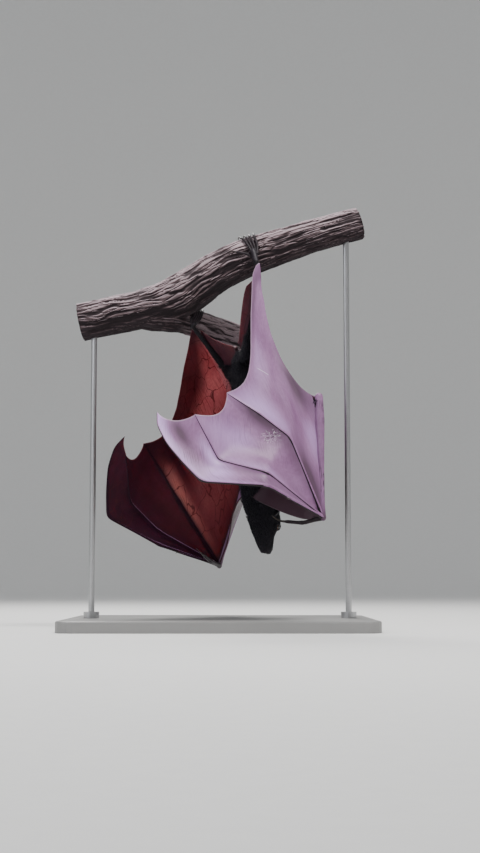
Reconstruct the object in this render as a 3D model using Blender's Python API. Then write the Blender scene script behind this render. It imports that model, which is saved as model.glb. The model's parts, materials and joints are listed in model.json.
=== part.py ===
"""A large flying fox hanging from a forked branch, life size, on a plain display stand.

Metres, +Z up. The origin is the middle of the stand's underside. -Y is the side the near (right)
wing is on, and the belly faces -X. The wings are built from bone lengths and directions, and every
membrane is a sheet stretched between the bones and its own free edge.
"""

import math

import bmesh
import bpy
from mathutils import Vector

# ---------------------------------------------------------------- driving dimensions
GAP = 0.0003
MEMBRANE = 0.0012
FOREARM = 0.196

BONE = {
    "humerus": 0.69 * FOREARM,
    "metacarpal_3": 0.67 * FOREARM,
    "metacarpal_4": 0.66 * FOREARM,
    "metacarpal_5": 0.70 * FOREARM,
    "first_3": 0.535 * FOREARM,
    "first_4": 0.42 * FOREARM,
    "first_5": 0.315 * FOREARM,
    "last_3": 0.715 * FOREARM,
    "last_4": 0.42 * FOREARM,
    "last_5": 0.32 * FOREARM,
    "index": 0.46 * FOREARM,
    "thumb_base": 0.21 * FOREARM,
    "thumb_end": 0.17 * FOREARM,
    "thumb_claw": 0.115 * FOREARM,
}

BASE_SIZE = Vector((0.500, 0.400, 0.018))
BASE_CORNER = 0.030
ROD_RADIUS = 0.005
ROD_SPAN = 0.424
COLLAR_RADIUS = 0.013
COLLAR_HEIGHT = 0.010
SOCKET_DEPTH = 0.012

# Spine, from the tail base down to the nose.
TAIL_BASE = Vector((0.036, -0.022, 0.452))
HIPS = Vector((0.043, -0.020, 0.421))
WAIST = Vector((0.057, -0.020, 0.347))
CHEST = Vector((0.071, -0.020, 0.271))
NECK_BASE = Vector((0.070, -0.020, 0.231))
NAPE = Vector((0.073, -0.020, 0.206))
NOSE = Vector((0.078, -0.022, 0.1235))

# Joints where a limb starts, as (near side, far side).
SHOULDER = {"right": Vector((0.092, -0.048, 0.265)), "left": Vector((0.083, 0.008, 0.263))}
HIP = {"right": Vector((0.045, -0.034, 0.432)), "left": Vector((0.048, -0.014, 0.406))}
KNEE = {"right": Vector((0.059, -0.040, 0.520)), "left": Vector((0.009, 0.052, 0.441))}
ANKLE = {"right": Vector((0.060, -0.045, 0.604)), "left": Vector((-0.047, 0.008, 0.505))}

# Direction of each wing bone: (heading from +X towards +Y, rise above level), in degrees.
POSE = {
    "right": {
        "humerus": (-31, 54),
        "forearm": (-74, -85),
        "metacarpal_3": (-136, 20),
        "metacarpal_4": (-144, 31),
        "metacarpal_5": (-167, 67),
        "first_3": (169, 4),
        "first_4": (161, 15),
        "first_5": (-175, 37),
        "last_3": (150, 54),
        "last_4": (170, 62),
        "last_5": (173, 33),
        "index": (-131, 17),
        "thumb_base": (140, -11),
        "thumb_end": (155, 5),
        "thumb_claw": (179, 27),
    },
    "left": {
        "humerus": (101, 12),
        "forearm": (164, -71),
        "metacarpal_3": (-143, 15),
        "metacarpal_4": (-156, 27),
        "metacarpal_5": (-154, 55),
        "first_3": (-156, 26),
        "first_4": (-132, 35),
        "first_5": (-153, 56),
        "last_3": (0, 78),
        "last_4": (-107, 75),
        "last_5": (-128, 44),
        "index": (-133, 9),
        "thumb_base": (-109, 8),
        "thumb_end": (-115, 20),
        "thumb_claw": (131, 32),
    },
}


# ---------------------------------------------------------------- small geometry helpers
def reach(start, length, heading, rise):
    """The point a bone of this length gets to in this direction."""
    h, r = math.radians(heading), math.radians(rise)
    return start + length * Vector((math.cos(h) * math.cos(r), math.sin(h) * math.cos(r), math.sin(r)))


def lerp(a, b, t):
    return a + (b - a) * t


def bezier(a, b, c, d, t):
    u = 1 - t
    return a * u**3 + b * 3 * u * u * t + c * 3 * u * t * t + d * t**3


def along(points, t):
    """Point at a share t of the length of a chain of straight lines."""
    spans = [(q - p).length for p, q in zip(points, points[1:])]
    left = max(0.0, min(1.0, t)) * sum(spans)
    for p, q, span in zip(points, points[1:], spans):
        if left <= span:
            return lerp(p, q, left / span)
        left -= span
    return points[-1].copy()


def rounded(points, count, corner=0.12):
    """Points read evenly from a chain whose corners are eased over a share of its length."""
    found = []
    for i in range(count):
        t = i / (count - 1)
        reach_t = min(corner / 2, t, 1 - t)
        near = [along(points, t + reach_t * k / 3) for k in range(-3, 4)]
        found.append(sum(near, Vector()) / len(near))
    return found


def interpolate(stations, t):
    """Value at t of a list of (t, value), joined by straight lines."""
    for (t0, v0), (t1, v1) in zip(stations, stations[1:]):
        if t <= t1:
            return v0 + (v1 - v0) * (t - t0) / (t1 - t0)
    return stations[-1][1]


# ---------------------------------------------------------------- making objects
def material(name, colour, roughness=0.6, metallic=0.0):
    found = bpy.data.materials.get(name)
    if found:
        return found
    made = bpy.data.materials.new(name)
    made.use_nodes = True
    shader = made.node_tree.nodes["Principled BSDF"]
    shader.inputs["Base Color"].default_value = (*colour, 1.0)
    shader.inputs["Roughness"].default_value = roughness
    shader.inputs["Metallic"].default_value = metallic
    made.diffuse_color = (*colour, 1.0)
    return made


def fur():
    return material("fur", (0.020, 0.017, 0.018), 0.85)


def bare_skin():
    return material("bare_skin", (0.060, 0.040, 0.045), 0.55)


def membrane_skin():
    return material("membrane_skin", (0.230, 0.130, 0.150), 0.50)


def horn():
    return material("horn", (0.045, 0.035, 0.032), 0.35)


def eye_gloss():
    return material("eye_gloss", (0.060, 0.022, 0.010), 0.08)


def bark():
    return material("bark", (0.200, 0.150, 0.130), 0.90)


def stand_paint():
    return material("stand_paint", (0.300, 0.295, 0.285), 0.55)


def rod_steel():
    return material("rod_steel", (0.550, 0.550, 0.560), 0.30, 1.0)


def new_object(name, points, faces, surface, smooth=True):
    mesh = bpy.data.meshes.new(name)
    mesh.from_pydata([tuple(p) for p in points], [], faces)
    work = bmesh.new()
    work.from_mesh(mesh)
    bmesh.ops.recalc_face_normals(work, faces=work.faces)
    if work.calc_volume(signed=True) < 0:
        bmesh.ops.reverse_faces(work, faces=work.faces)
    work.to_mesh(mesh)
    work.free()
    if smooth:
        mesh.shade_smooth()
        mesh.set_sharp_from_angle(angle=math.radians(50))
    made = bpy.data.objects.new(name, mesh)
    made.data.materials.append(surface)
    bpy.context.scene.collection.objects.link(made)
    return made


def as_cutter(obj):
    obj.hide_render = True
    obj.display_type = "WIRE"
    return obj


def boolean(target, tools, operation="DIFFERENCE", crossing=False):
    """Cut target by every tool at once, or join them all to it. crossing is for tools that meet."""
    group = bpy.data.collections.new(f"{operation.lower()}_{target.name}")
    for tool in tools:
        group.objects.link(tool)
    step = target.modifiers.new(operation.lower(), "BOOLEAN")
    step.operation = operation
    step.solver = "EXACT"
    step.operand_type = "COLLECTION"
    step.collection = group
    step.use_self = crossing
    return target


def ring_frames(path):
    """(centre, side, over) for each point of a path, square to it and turning as little as they can."""
    frames = []
    over = None
    for i, p in enumerate(path):
        ahead = path[min(i + 1, len(path) - 1)] - path[max(i - 1, 0)]
        ahead.normalize()
        if over is None:
            over = ahead.orthogonal()
        over = (over - ahead * over.dot(ahead)).normalized()
        frames.append((p, ahead.cross(over).normalized(), over))
    return frames


def loft(name, rings, surface):
    """A closed solid through rings of equally many points, with flat ends."""
    sides = len(rings[0])
    points = [p for ring in rings for p in ring]
    faces = [
        (r * sides + k, r * sides + (k + 1) % sides, (r + 1) * sides + (k + 1) % sides, (r + 1) * sides + k)
        for r in range(len(rings) - 1)
        for k in range(sides)
    ]
    faces.append(tuple(reversed(range(sides))))
    faces.append(tuple((len(rings) - 1) * sides + k for k in range(sides)))
    return new_object(name, points, faces, surface)


def tube(name, path, radii, surface, sides=8, grow=0.0):
    """A round limb along path. radii is a list of (share of the path, radius); grow makes a cutter."""
    count = len(path)
    path = [p.copy() for p in path]
    if grow:
        path[0] += (path[0] - path[1]).normalized() * grow
        path[-1] += (path[-1] - path[-2]).normalized() * grow
    rings = []
    for i, (centre, side, over) in enumerate(ring_frames(path)):
        radius = interpolate(radii, i / (count - 1)) + grow
        turns = [2 * math.pi * k / sides for k in range(sides)]
        rings.append([centre + radius * (math.cos(a) * side + math.sin(a) * over) for a in turns])
    return loft(name, rings, surface)


def drawn_in(place, left, right, low=0.0, high=0.0):
    """The same surface with its edges pulled in by these distances, to start inside the bones."""

    def share(distance, a, b):
        return min(0.3, distance / max((b - a).length, 1e-5))

    def inside(s, t):
        a, b = place(0.0, t), place(1.0, t)
        c, d = place(s, 0.0), place(s, 1.0)
        first, last = share(left, a, b), share(right, a, b)
        under, over = share(low, c, d), share(high, c, d)
        return place(first + (1 - first - last) * s, under + (1 - under - over) * t)

    return inside


def sheet(name, place, columns, rows, surface, thickness=MEMBRANE):
    """A thin closed solid on both sides of the surface place(s, t). rows counts t from 0 to 1, or lists it."""
    steps = rows if isinstance(rows, list) else [j / rows for j in range(rows + 1)]
    rows = len(steps) - 1
    grid = [[place(i / columns, t) for t in steps] for i in range(columns + 1)]

    def normal(i, j):
        across = grid[min(i + 1, columns)][j] - grid[max(i - 1, 0)][j]
        down = grid[i][min(j + 1, rows)] - grid[i][max(j - 1, 0)]
        return across.cross(down).normalized()

    points, faces = [], []
    layer = (columns + 1) * (rows + 1)
    for side in (0.5, -0.5):
        for i in range(columns + 1):
            for j in range(rows + 1):
                points.append(grid[i][j] + normal(i, j) * side * thickness)

    def index(i, j, under):
        return under * layer + i * (rows + 1) + j

    for i in range(columns):
        for j in range(rows):
            quad = [(i, j), (i + 1, j), (i + 1, j + 1), (i, j + 1)]
            faces.append(tuple(index(a, b, 0) for a, b in quad))
            faces.append(tuple(index(a, b, 1) for a, b in reversed(quad)))
    rim = (
        [(i, 0) for i in range(columns)]
        + [(columns, j) for j in range(rows)]
        + [(i, rows) for i in range(columns, 0, -1)]
        + [(0, j) for j in range(rows, 0, -1)]
    )
    for (a, b), (c, d) in zip(rim, rim[1:] + rim[:1]):
        faces.append((index(a, b, 0), index(a, b, 1), index(c, d, 1), index(c, d, 0)))
    return new_object(name, points, faces, surface)


# ---------------------------------------------------------------- perch and stand
PERCH_AXIS = [
    Vector((-0.235, 0.004, 0.512)),
    Vector((-0.139, -0.002, 0.531)),
    Vector((-0.083, 0.002, 0.546)),
    Vector((-0.051, 0.002, 0.566)),
    Vector((-0.011, 0.000, 0.594)),
    Vector((0.041, 0.000, 0.621)),
    Vector((0.092, 0.002, 0.638)),
    Vector((0.145, 0.000, 0.656)),
    Vector((0.197, -0.002, 0.670)),
    Vector((0.235, 0.002, 0.681)),
]
PERCH_RADII = [
    (0.00, 0.032),
    (0.20, 0.032),
    (0.34, 0.038),
    (0.44, 0.035),
    (0.58, 0.033),
    (0.72, 0.030),
    (0.86, 0.027),
    (1.00, 0.027),
]
SPUR_AXIS = [
    Vector((-0.078, 0.006, 0.522)),
    Vector((-0.049, 0.034, 0.517)),
    Vector((-0.008, 0.068, 0.510)),
    Vector((0.033, 0.100, 0.501)),
    Vector((0.049, 0.112, 0.498)),
]
SPUR_RADII = [(0.0, 0.025), (0.35, 0.0225), (1.0, 0.0220)]
# The swelling under the main branch that the side branch grows from.
COLLAR_AXIS = [Vector((-0.150, 0.000, 0.524)), Vector((-0.115, 0.001, 0.521))]
COLLAR_RADII = [(0.0, 0.0205), (0.15, 0.0250), (0.30, 0.0250), (0.545, 0.0225), (1.0, 0.0220)]


def perch_radius(x):
    """Radius of the main branch at a place along X."""
    share = (x - PERCH_AXIS[0].x) / (PERCH_AXIS[-1].x - PERCH_AXIS[0].x)
    return interpolate(PERCH_RADII, max(0.0, min(1.0, share)))


def perch_centre(x):
    """Point of the main branch's axis at a place along X."""
    for p, q in zip(PERCH_AXIS, PERCH_AXIS[1:]):
        if x <= q.x:
            return lerp(p, q, (x - p.x) / (q.x - p.x))
    return PERCH_AXIS[-1].copy()


def build_perch():
    main_path = rounded(PERCH_AXIS, 14, 0.08)
    spur_path = rounded([*COLLAR_AXIS, *SPUR_AXIS], 12, 0.2)
    main = tube("perch_branch", main_path, PERCH_RADII, bark(), 14)
    main_tool = as_cutter(tube("cut_perch", main_path, PERCH_RADII, bark(), 14, GAP))
    spur = tube("perch_spur", spur_path, COLLAR_RADII, bark(), 12)
    spur_tool = as_cutter(tube("cut_spur", spur_path, COLLAR_RADII, bark(), 12, GAP))
    boolean(spur, [main_tool])
    return main, spur, main_tool, spur_tool


def disc(name, x, y, z0, z1, radius, surface, sides=16):
    path = [Vector((x, y, z0)), Vector((x, y, z1))]
    return tube(name, path, [(0.0, radius), (1.0, radius)], surface, sides)


def build_base():
    mesh = bpy.data.meshes.new("stand_base")
    work = bmesh.new()
    bmesh.ops.create_cube(work, size=1.0)
    for v in work.verts:
        v.co = Vector((v.co.x * BASE_SIZE.x, v.co.y * BASE_SIZE.y, (v.co.z + 0.5) * BASE_SIZE.z))
    upright = [e for e in work.edges if abs(e.verts[0].co.z - e.verts[1].co.z) > BASE_SIZE.z / 2]
    bmesh.ops.bevel(work, geom=upright, offset=BASE_CORNER, segments=5, profile=0.5, affect="EDGES")
    top = [e for e in work.edges if all(v.co.z > BASE_SIZE.z - 1e-6 for v in e.verts)]
    bmesh.ops.bevel(work, geom=top, offset=0.0025, segments=2, profile=0.5, affect="EDGES")
    work.to_mesh(mesh)
    work.free()
    mesh.shade_smooth()
    mesh.set_sharp_from_angle(angle=math.radians(40))
    base = bpy.data.objects.new("stand_base", mesh)
    base.data.materials.append(stand_paint())
    bpy.context.scene.collection.objects.link(base)
    return base


def build_stand(perch):
    base = build_base()
    floor_of_socket = BASE_SIZE.z - SOCKET_DEPTH
    for side, x in (("left", -ROD_SPAN / 2), ("right", ROD_SPAN / 2)):
        centre = perch_centre(x)
        top = centre.z - perch_radius(x) + SOCKET_DEPTH
        disc(f"stand_rod_{side}", x, centre.y, floor_of_socket, top, ROD_RADIUS, rod_steel())
        hole = disc(
            f"cut_rod_{side}",
            x,
            centre.y,
            floor_of_socket - GAP,
            top + GAP,
            ROD_RADIUS + GAP,
            rod_steel(),
        )
        as_cutter(hole)
        low = BASE_SIZE.z + GAP
        collar = disc(
            f"stand_collar_{side}", x, centre.y, low, low + COLLAR_HEIGHT, COLLAR_RADIUS, rod_steel(), 20
        )
        for part in (base, perch, collar):
            boolean(part, [hole])


# ---------------------------------------------------------------- body
BODY_SIDES = 14
# Each station: (share of the spine, half depth belly side, half depth back side, half width).
TRUNK_STATIONS = [
    (0.00, 0.011, 0.011, 0.013),
    (0.05, 0.020, 0.018, 0.023),
    (0.14, 0.027, 0.024, 0.031),
    (0.30, 0.034, 0.029, 0.038),
    (0.50, 0.040, 0.033, 0.043),
    (0.70, 0.043, 0.037, 0.046),
    (0.86, 0.043, 0.036, 0.045),
    (1.00, 0.041, 0.033, 0.038),
]
NECK_STATIONS = [
    (0.00, 0.041, 0.033, 0.038),
    (0.50, 0.040, 0.030, 0.034),
    (1.00, 0.038, 0.028, 0.031),
]
# Each station: (share of the head from nape to nose, throat side, crown side, half width).
HEAD_STATIONS = [
    (0.00, 0.038, 0.028, 0.031),
    (0.12, 0.0350, 0.0275, 0.030),
    (0.26, 0.0320, 0.0265, 0.029),
    (0.40, 0.0295, 0.0255, 0.0265),
    (0.50, 0.0270, 0.0230, 0.0245),
    (0.60, 0.0235, 0.0165, 0.0200),
    (0.70, 0.0205, 0.0128, 0.0160),
    (0.80, 0.0178, 0.0110, 0.0132),
    (0.90, 0.0142, 0.0096, 0.0112),
    (0.965, 0.0100, 0.0082, 0.0090),
    (1.00, 0.0050, 0.0050, 0.0055),
]
TRUNK_TURN, NECK_TURN, HEAD_TURN = 26.0, 20.0, 14.0


def belly_direction(turn):
    """Unit vector out of the belly: towards -X, turned towards -Y by this many degrees."""
    a = math.radians(turn)
    return Vector((-math.cos(a), -math.sin(a), 0.0))


def body_ring(centre, ahead, belly, throat, crown, width, grow=0.0):
    """One ring of the body, deeper on the belly side than the back where throat and crown differ."""
    belly = (belly - ahead * belly.dot(ahead)).normalized()
    lateral = ahead.cross(belly).normalized()
    ring = []
    for k in range(BODY_SIDES):
        a = 2 * math.pi * k / BODY_SIDES
        depth = (throat if math.cos(a) > 0 else crown) + grow
        ring.append(centre + belly * depth * math.cos(a) + lateral * (width + grow) * math.sin(a))
    return ring


def body_part(name, spine, stations, turn, surface, grow=0.0, lead_in=0.0, first=None, last=None):
    """A solid along part of the spine. lead_in moves its first ring ahead, to leave a gap.

    first and last are the directions its end faces look along, so that neighbours meet squarely.
    """
    rings = []
    for t, throat, crown, width in stations:
        centre = along(spine, t)
        ahead = (along(spine, min(t + 0.04, 1.0)) - along(spine, max(t - 0.04, 0.0))).normalized()
        if t == 0.0:
            ahead = first or ahead
            centre = centre + ahead * (lead_in - grow)
        if t == 1.0:
            ahead = last or ahead
            centre = centre + ahead * grow
        rings.append(body_ring(centre, ahead, belly_direction(turn(t)), throat, crown, width, grow))
    return loft(name, rings, surface)


def trunk_spine():
    return rounded([TAIL_BASE, HIPS, WAIST, CHEST, NECK_BASE], 40, 0.15)


def neck_spine():
    return [NECK_BASE, NAPE]


def head_spine():
    return [NAPE, NOSE]


def head_frame():
    """(ahead, throat direction, lateral direction towards the near side) of the head."""
    ahead = (NOSE - NAPE).normalized()
    throat = belly_direction(HEAD_TURN)
    throat = (throat - ahead * throat.dot(ahead)).normalized()
    near = ahead.cross(throat).normalized()
    if near.y > 0:
        near = -near
    return ahead, throat, near


def head_point(share, throat, near):
    """A point of the head: share of its length from the nape, then offsets in metres."""
    ahead, throat_dir, near_dir = head_frame()
    return lerp(NAPE, NOSE, share) + throat_dir * throat + near_dir * near


EYE_RADIUS = 0.0052
EYE_SHARE, EYE_CROWN, EYE_SIDE = 0.49, 0.0140, 0.0165


def ball(name, centre, radius, surface, rings=5, sides=8):
    """A sphere made as a loft, with its pole along the head's side axis."""
    pole = head_frame()[2]
    path, radii = [], []
    for i in range(rings + 1):
        a = math.pi * (0.06 + 0.88 * i / rings)
        path.append(centre - pole * radius * math.cos(a))
        radii.append((i / rings, radius * math.sin(a)))
    return tube(name, path, radii, surface, sides)


def build_eyes(head):
    for name, side in (("eye_right", 1), ("eye_left", -1)):
        centre = head_point(EYE_SHARE, -EYE_CROWN, side * EYE_SIDE)
        ball(name, centre, EYE_RADIUS, eye_gloss())
        boolean(head, [as_cutter(ball(f"cut_{name}", centre, EYE_RADIUS + GAP, eye_gloss()))])


EAR_HEIGHT, EAR_WIDTH = 0.036, 0.021


def build_ears(head_tool, neck_tool):
    ahead, throat_dir, near_dir = head_frame()
    for name, side in (("ear_right", 1), ("ear_left", -1)):
        root = head_point(0.27, -0.0150, side * 0.0185)
        out = (near_dir * side * 0.42 - throat_dir * 0.62 - ahead * 0.66).normalized()
        across = (ahead * 0.80 + near_dir * side * 0.45 - throat_dir * 0.1)
        across = (across - out * across.dot(out)).normalized()
        hollow = out.cross(across).normalized()

        def place(s, t, root=root, out=out, across=across, hollow=hollow):
            half = EAR_WIDTH / 2 * math.sin(math.pi * (0.30 + 0.64 * t)) ** 0.8
            w = (s - 0.5) * 2
            cup = 0.0050 * (1 - w * w) * (1 - 0.6 * t)
            return root + out * EAR_HEIGHT * t + across * half * w + hollow * cup

        boolean(sheet(name, place, 4, 4, bare_skin(), 0.0016), [head_tool, neck_tool])


def build_body():
    tools = {}

    at_neck = (NAPE - CHEST).normalized()
    at_head = (NOSE - NECK_BASE).normalized()

    def part_and_tool(name, spine, stations, turns, lead_in, first, last):
        def turn(t):
            return lerp(turns[0], turns[1], t)

        part = body_part(name, spine, stations, turn, fur(), 0.0, lead_in, first, last)
        grown = body_part(f"cut_{name}", spine, stations, turn, fur(), GAP, lead_in, first, last)
        tools[name] = as_cutter(grown)
        return part

    rump_turn = TRUNK_TURN + 8
    trunk = part_and_tool("trunk", trunk_spine(), TRUNK_STATIONS, (rump_turn, NECK_TURN), 0.0, None, at_neck)
    neck = part_and_tool("neck", neck_spine(), NECK_STATIONS, (NECK_TURN, HEAD_TURN), GAP, at_neck, at_head)
    head = part_and_tool("head", head_spine(), HEAD_STATIONS, (HEAD_TURN, HEAD_TURN), GAP, at_head, None)
    build_eyes(head)
    build_ears(tools["head"], tools["neck"])
    return trunk, neck, head, tools


# ---------------------------------------------------------------- legs and feet
TOE_RADIUS = 0.0019


def toe_path(side, root, tip, start, end, lift, count=6):
    """A line over a branch from one place along it to another, turning from start to end degrees."""
    path = []
    for i in range(count):
        share = i / (count - 1)
        centre, axis, radius = toe_seat(side, lerp(root, tip, share))
        up = (Vector((0, 0, 1)) - axis * axis.z).normalized()
        front = axis.cross(up).normalized()
        if front.y > 0:
            front = -front
        a = math.radians(start + (end - start) * share)
        path.append(centre + (up * math.cos(a) + front * math.sin(a)) * (radius + lift))
    return path


# Each toe: places along the branch of its root and its tip, then the turns from the top of the branch.
TOES = {
    "right": [
        (0.048, 0.024, 100, 66),
        (0.050, 0.043, 76, 2),
        (0.054, 0.050, 80, -4),
        (0.058, 0.058, 82, -6),
        (0.063, 0.066, 78, -3),
    ],
    "left": [
        (0.090, 0.190, 98, 44),
        (0.118, 0.225, 100, 34),
        (0.146, 0.260, 100, 26),
        (0.174, 0.295, 98, 20),
        (0.202, 0.325, 94, 18),
    ],
}


def toe_seat(side, place):
    """(centre, axis, radius) of the branch where a toe of this foot lies."""
    if side == "right":
        centre = perch_centre(place)
        axis = (perch_centre(place + 0.01) - perch_centre(place - 0.01)).normalized()
        return centre, axis, perch_radius(place)
    path = rounded(SPUR_AXIS, 60, 0.2)
    centre = along(path, place)
    axis = (along(path, min(1.0, place + 0.05)) - along(path, max(0.0, place - 0.05))).normalized()
    return centre, axis, interpolate(SPUR_RADII, place)


def build_foot(side, tools):
    """Sole, five toes and their claws, joined into one solid that grips the branch."""
    ankle = ANKLE[side]
    toes = []
    roots = []
    for i, (root, tip, start, end) in enumerate(TOES[side]):
        path = toe_path(side, root, tip, start, end, TOE_RADIUS + 3 * GAP)
        roots.append(path[0])
        heel = lerp(ankle, path[0], 0.55)
        path = [heel] + path
        radii = [(0.0, 0.0026), (0.2, TOE_RADIUS + 0.0003), (0.78, TOE_RADIUS), (1.0, 0.0009)]
        toes.append(as_cutter(tube(f"cut_toe_{side}_{i}", path, radii, horn(), 5)))
    front = lerp(roots[2], ankle, 0.1)
    foot = tube(
        f"foot_{side}",
        [ankle, lerp(ankle, front, 0.5), front],
        [(0.0, 0.0040), (0.5, 0.0052), (1.0, 0.0048)],
        bare_skin(),
        8,
    )
    boolean(foot, toes, "UNION", True)
    return boolean(foot, tools)


THIGH_RADII = {
    "right": [(0.0, 0.017), (0.35, 0.015), (0.7, 0.011), (1.0, 0.0075)],
    "left": [(0.0, 0.022), (0.35, 0.021), (0.7, 0.0175), (1.0, 0.0110)],
}


def build_leg(side, trunk_tool, perch_tools):
    hip, knee, ankle = HIP[side], KNEE[side], ANKLE[side]
    thigh_path = [hip, lerp(hip, knee, 0.35), lerp(hip, knee, 0.7), knee]
    thigh_radii = THIGH_RADII[side]
    shin_path = [knee, lerp(knee, ankle, 0.25), lerp(knee, ankle, 0.6), ankle]
    shin_radii = [(0.0, 0.0078), (0.25, 0.0082), (0.6, 0.0056), (1.0, 0.0040)]
    thigh = tube(f"thigh_{side}", thigh_path, thigh_radii, fur(), 10)
    thigh_tool = as_cutter(tube(f"cut_thigh_{side}", thigh_path, thigh_radii, fur(), 10, GAP))
    shin = tube(f"shin_{side}", shin_path, shin_radii, fur(), 8)
    shin_tool = as_cutter(tube(f"cut_shin_{side}", shin_path, shin_radii, fur(), 8, GAP))
    boolean(thigh, [trunk_tool])
    boolean(shin, [thigh_tool, *perch_tools])
    build_foot(side, [shin_tool, *perch_tools])
    return [thigh_tool, shin_tool]


# ---------------------------------------------------------------- wings
def wing_joints(side):
    """Every joint of one wing, worked out from the bone lengths and their directions."""
    pose = POSE[side]

    def bone(start, name, length=None):
        return reach(start, length or BONE[name], *pose[name])

    j = {"shoulder": SHOULDER[side]}
    j["elbow"] = bone(j["shoulder"], "humerus")
    j["wrist"] = bone(j["elbow"], "forearm", FOREARM)
    for n in (3, 4, 5):
        j[f"knuckle_{n}"] = bone(j["wrist"], f"metacarpal_{n}")
        j[f"middle_{n}"] = bone(j[f"knuckle_{n}"], f"first_{n}")
        j[f"tip_{n}"] = bone(j[f"middle_{n}"], f"last_{n}")
    j["index_tip"] = bone(j["wrist"], "index")
    j["thumb_mid"] = bone(j["wrist"], "thumb_base")
    j["thumb_end"] = bone(j["thumb_mid"], "thumb_end")
    j["claw_tip"] = bone(j["thumb_end"], "thumb_claw")
    return j


# How far the long third finger bows, and which way, in metres.
TIP_BOW = {"right": Vector((-0.012, -0.004, -0.007)), "left": Vector((-0.016, -0.006, 0.002))}


def finger_chain(side, j, n):
    """Eleven points of a finger from wrist to tip: joints at 0, 3, 6 and 10, the last bone of three bowed."""
    root, knuckle, middle, tip = j["wrist"], j[f"knuckle_{n}"], j[f"middle_{n}"], j[f"tip_{n}"]
    bow = TIP_BOW[side] if n == 3 else Vector()
    chain = [lerp(root, knuckle, k / 3) for k in range(3)]
    chain += [lerp(knuckle, middle, k / 3) for k in range(3)]
    chain.append(middle)
    for share, amount in ((0.3, 0.6), (0.6, 1.0), (0.85, 0.8), (1.0, 0.0)):
        chain.append(lerp(middle, tip, share) + bow * amount)
    return chain


FINGER_RADII = [(0.0, 0.0030), (0.1, 0.0024), (0.3, 0.0027), (0.45, 0.0020), (0.6, 0.0022), (0.8, 0.0014), (1.0, 0.0010)]
INDEX_RADII = [(0.0, 0.0024), (0.1, 0.0018), (0.7, 0.0016), (1.0, 0.0010)]


def at_index(points, i):
    """Point at a fractional place in a list of points."""
    low = min(int(i), len(points) - 2)
    return lerp(points[low], points[low + 1], i - low)


FAN_ROWS = [0.7, 1, 2, 3, 4, 5, 6, 7, 8, 9, 9.93]


def fan(toward, inner, outer, depth, skew, slack):
    """place(s, row) of the membrane between two fingers, s across and row out from the wrist.

    depth is how far the free edge is drawn in, as a share of the fingers' length.
    """
    bulge = (inner[-1] - toward).cross(outer[-1] - toward).normalized()

    def place(s, row):
        u = row - 10 * depth * math.sin(math.pi * s**skew) ** 0.75 * (row / 10) ** 4
        base = lerp(at_index(inner, u), at_index(outer, u), s)
        return base + bulge * slack * math.sin(math.pi * s) * math.sin(math.pi * min(1.0, 0.15 + 0.08 * u))

    return place


def coons(side_a, side_c, arm, edge, fall=1.0):
    """place(s, t) inside four curves: side_a(t) at s 0, side_c(t) at s 1, arm(s) at t 0, edge(s) at t 1.

    fall above 1 keeps the arm's bend near the arm.
    """
    corner = {(0, 0): arm(0.0), (1, 0): arm(1.0), (0, 1): edge(0.0), (1, 1): edge(1.0)}

    def place(s, t):
        w = 1 - (1 - t) ** fall
        ruled = lerp(side_a(t), side_c(t), s)
        bent = arm(s) * (1 - w) + edge(s) * w
        flat = lerp(corner[0, 0] * (1 - w) + corner[0, 1] * w, corner[1, 0] * (1 - w) + corner[1, 1] * w, s)
        return ruled + bent - flat

    return place


# Guide points of the free edges and of the fold that runs from the elbow up to the ankle.
TRAILING_EDGE = {
    "right": [
        Vector((0.035, -0.113, 0.386)),
        Vector((0.046, -0.108, 0.406)),
        Vector((0.050, -0.101, 0.434)),
        Vector((0.051, -0.086, 0.480)),
        Vector((0.051, -0.067, 0.540)),
    ],
    "left": [
        Vector((-0.112, 0.073, 0.317)),
        Vector((-0.093, 0.073, 0.333)),
        Vector((-0.080, 0.070, 0.362)),
        Vector((-0.070, 0.061, 0.398)),
        Vector((-0.061, 0.044, 0.452)),
    ],
}
FOLD = {
    "right": [
        Vector((0.139, -0.086, 0.384)),
        Vector((0.124, -0.081, 0.400)),
        Vector((0.102, -0.074, 0.436)),
        Vector((0.085, -0.066, 0.478)),
        Vector((0.072, -0.057, 0.538)),
    ],
    "left": [
        Vector((0.044, 0.140, 0.326)),
        Vector((0.020, 0.126, 0.393)),
        Vector((-0.010, 0.090, 0.456)),
    ],
}
LEADING_START = {"right": Vector((0.034, -0.047, 0.219)), "left": Vector((0.048, 0.002, 0.236))}
LEADING_EDGE = {
    "right": [
        Vector((0.062, -0.068, 0.207)),
        Vector((0.099, -0.084, 0.1885)),
        Vector((0.122, -0.088, 0.1800)),
        Vector((0.140, -0.087, 0.1755)),
    ],
    "left": [
        Vector((0.029, 0.036, 0.214)),
        Vector((0.020, 0.072, 0.190)),
        Vector((0.012, 0.118, 0.146)),
    ],
}
FLANK = {
    "right": [Vector((0.078, -0.052, 0.310)), Vector((0.062, -0.050, 0.370))],
    "left": [Vector((0.072, 0.010, 0.310)), Vector((0.058, 0.010, 0.370))],
}


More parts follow.
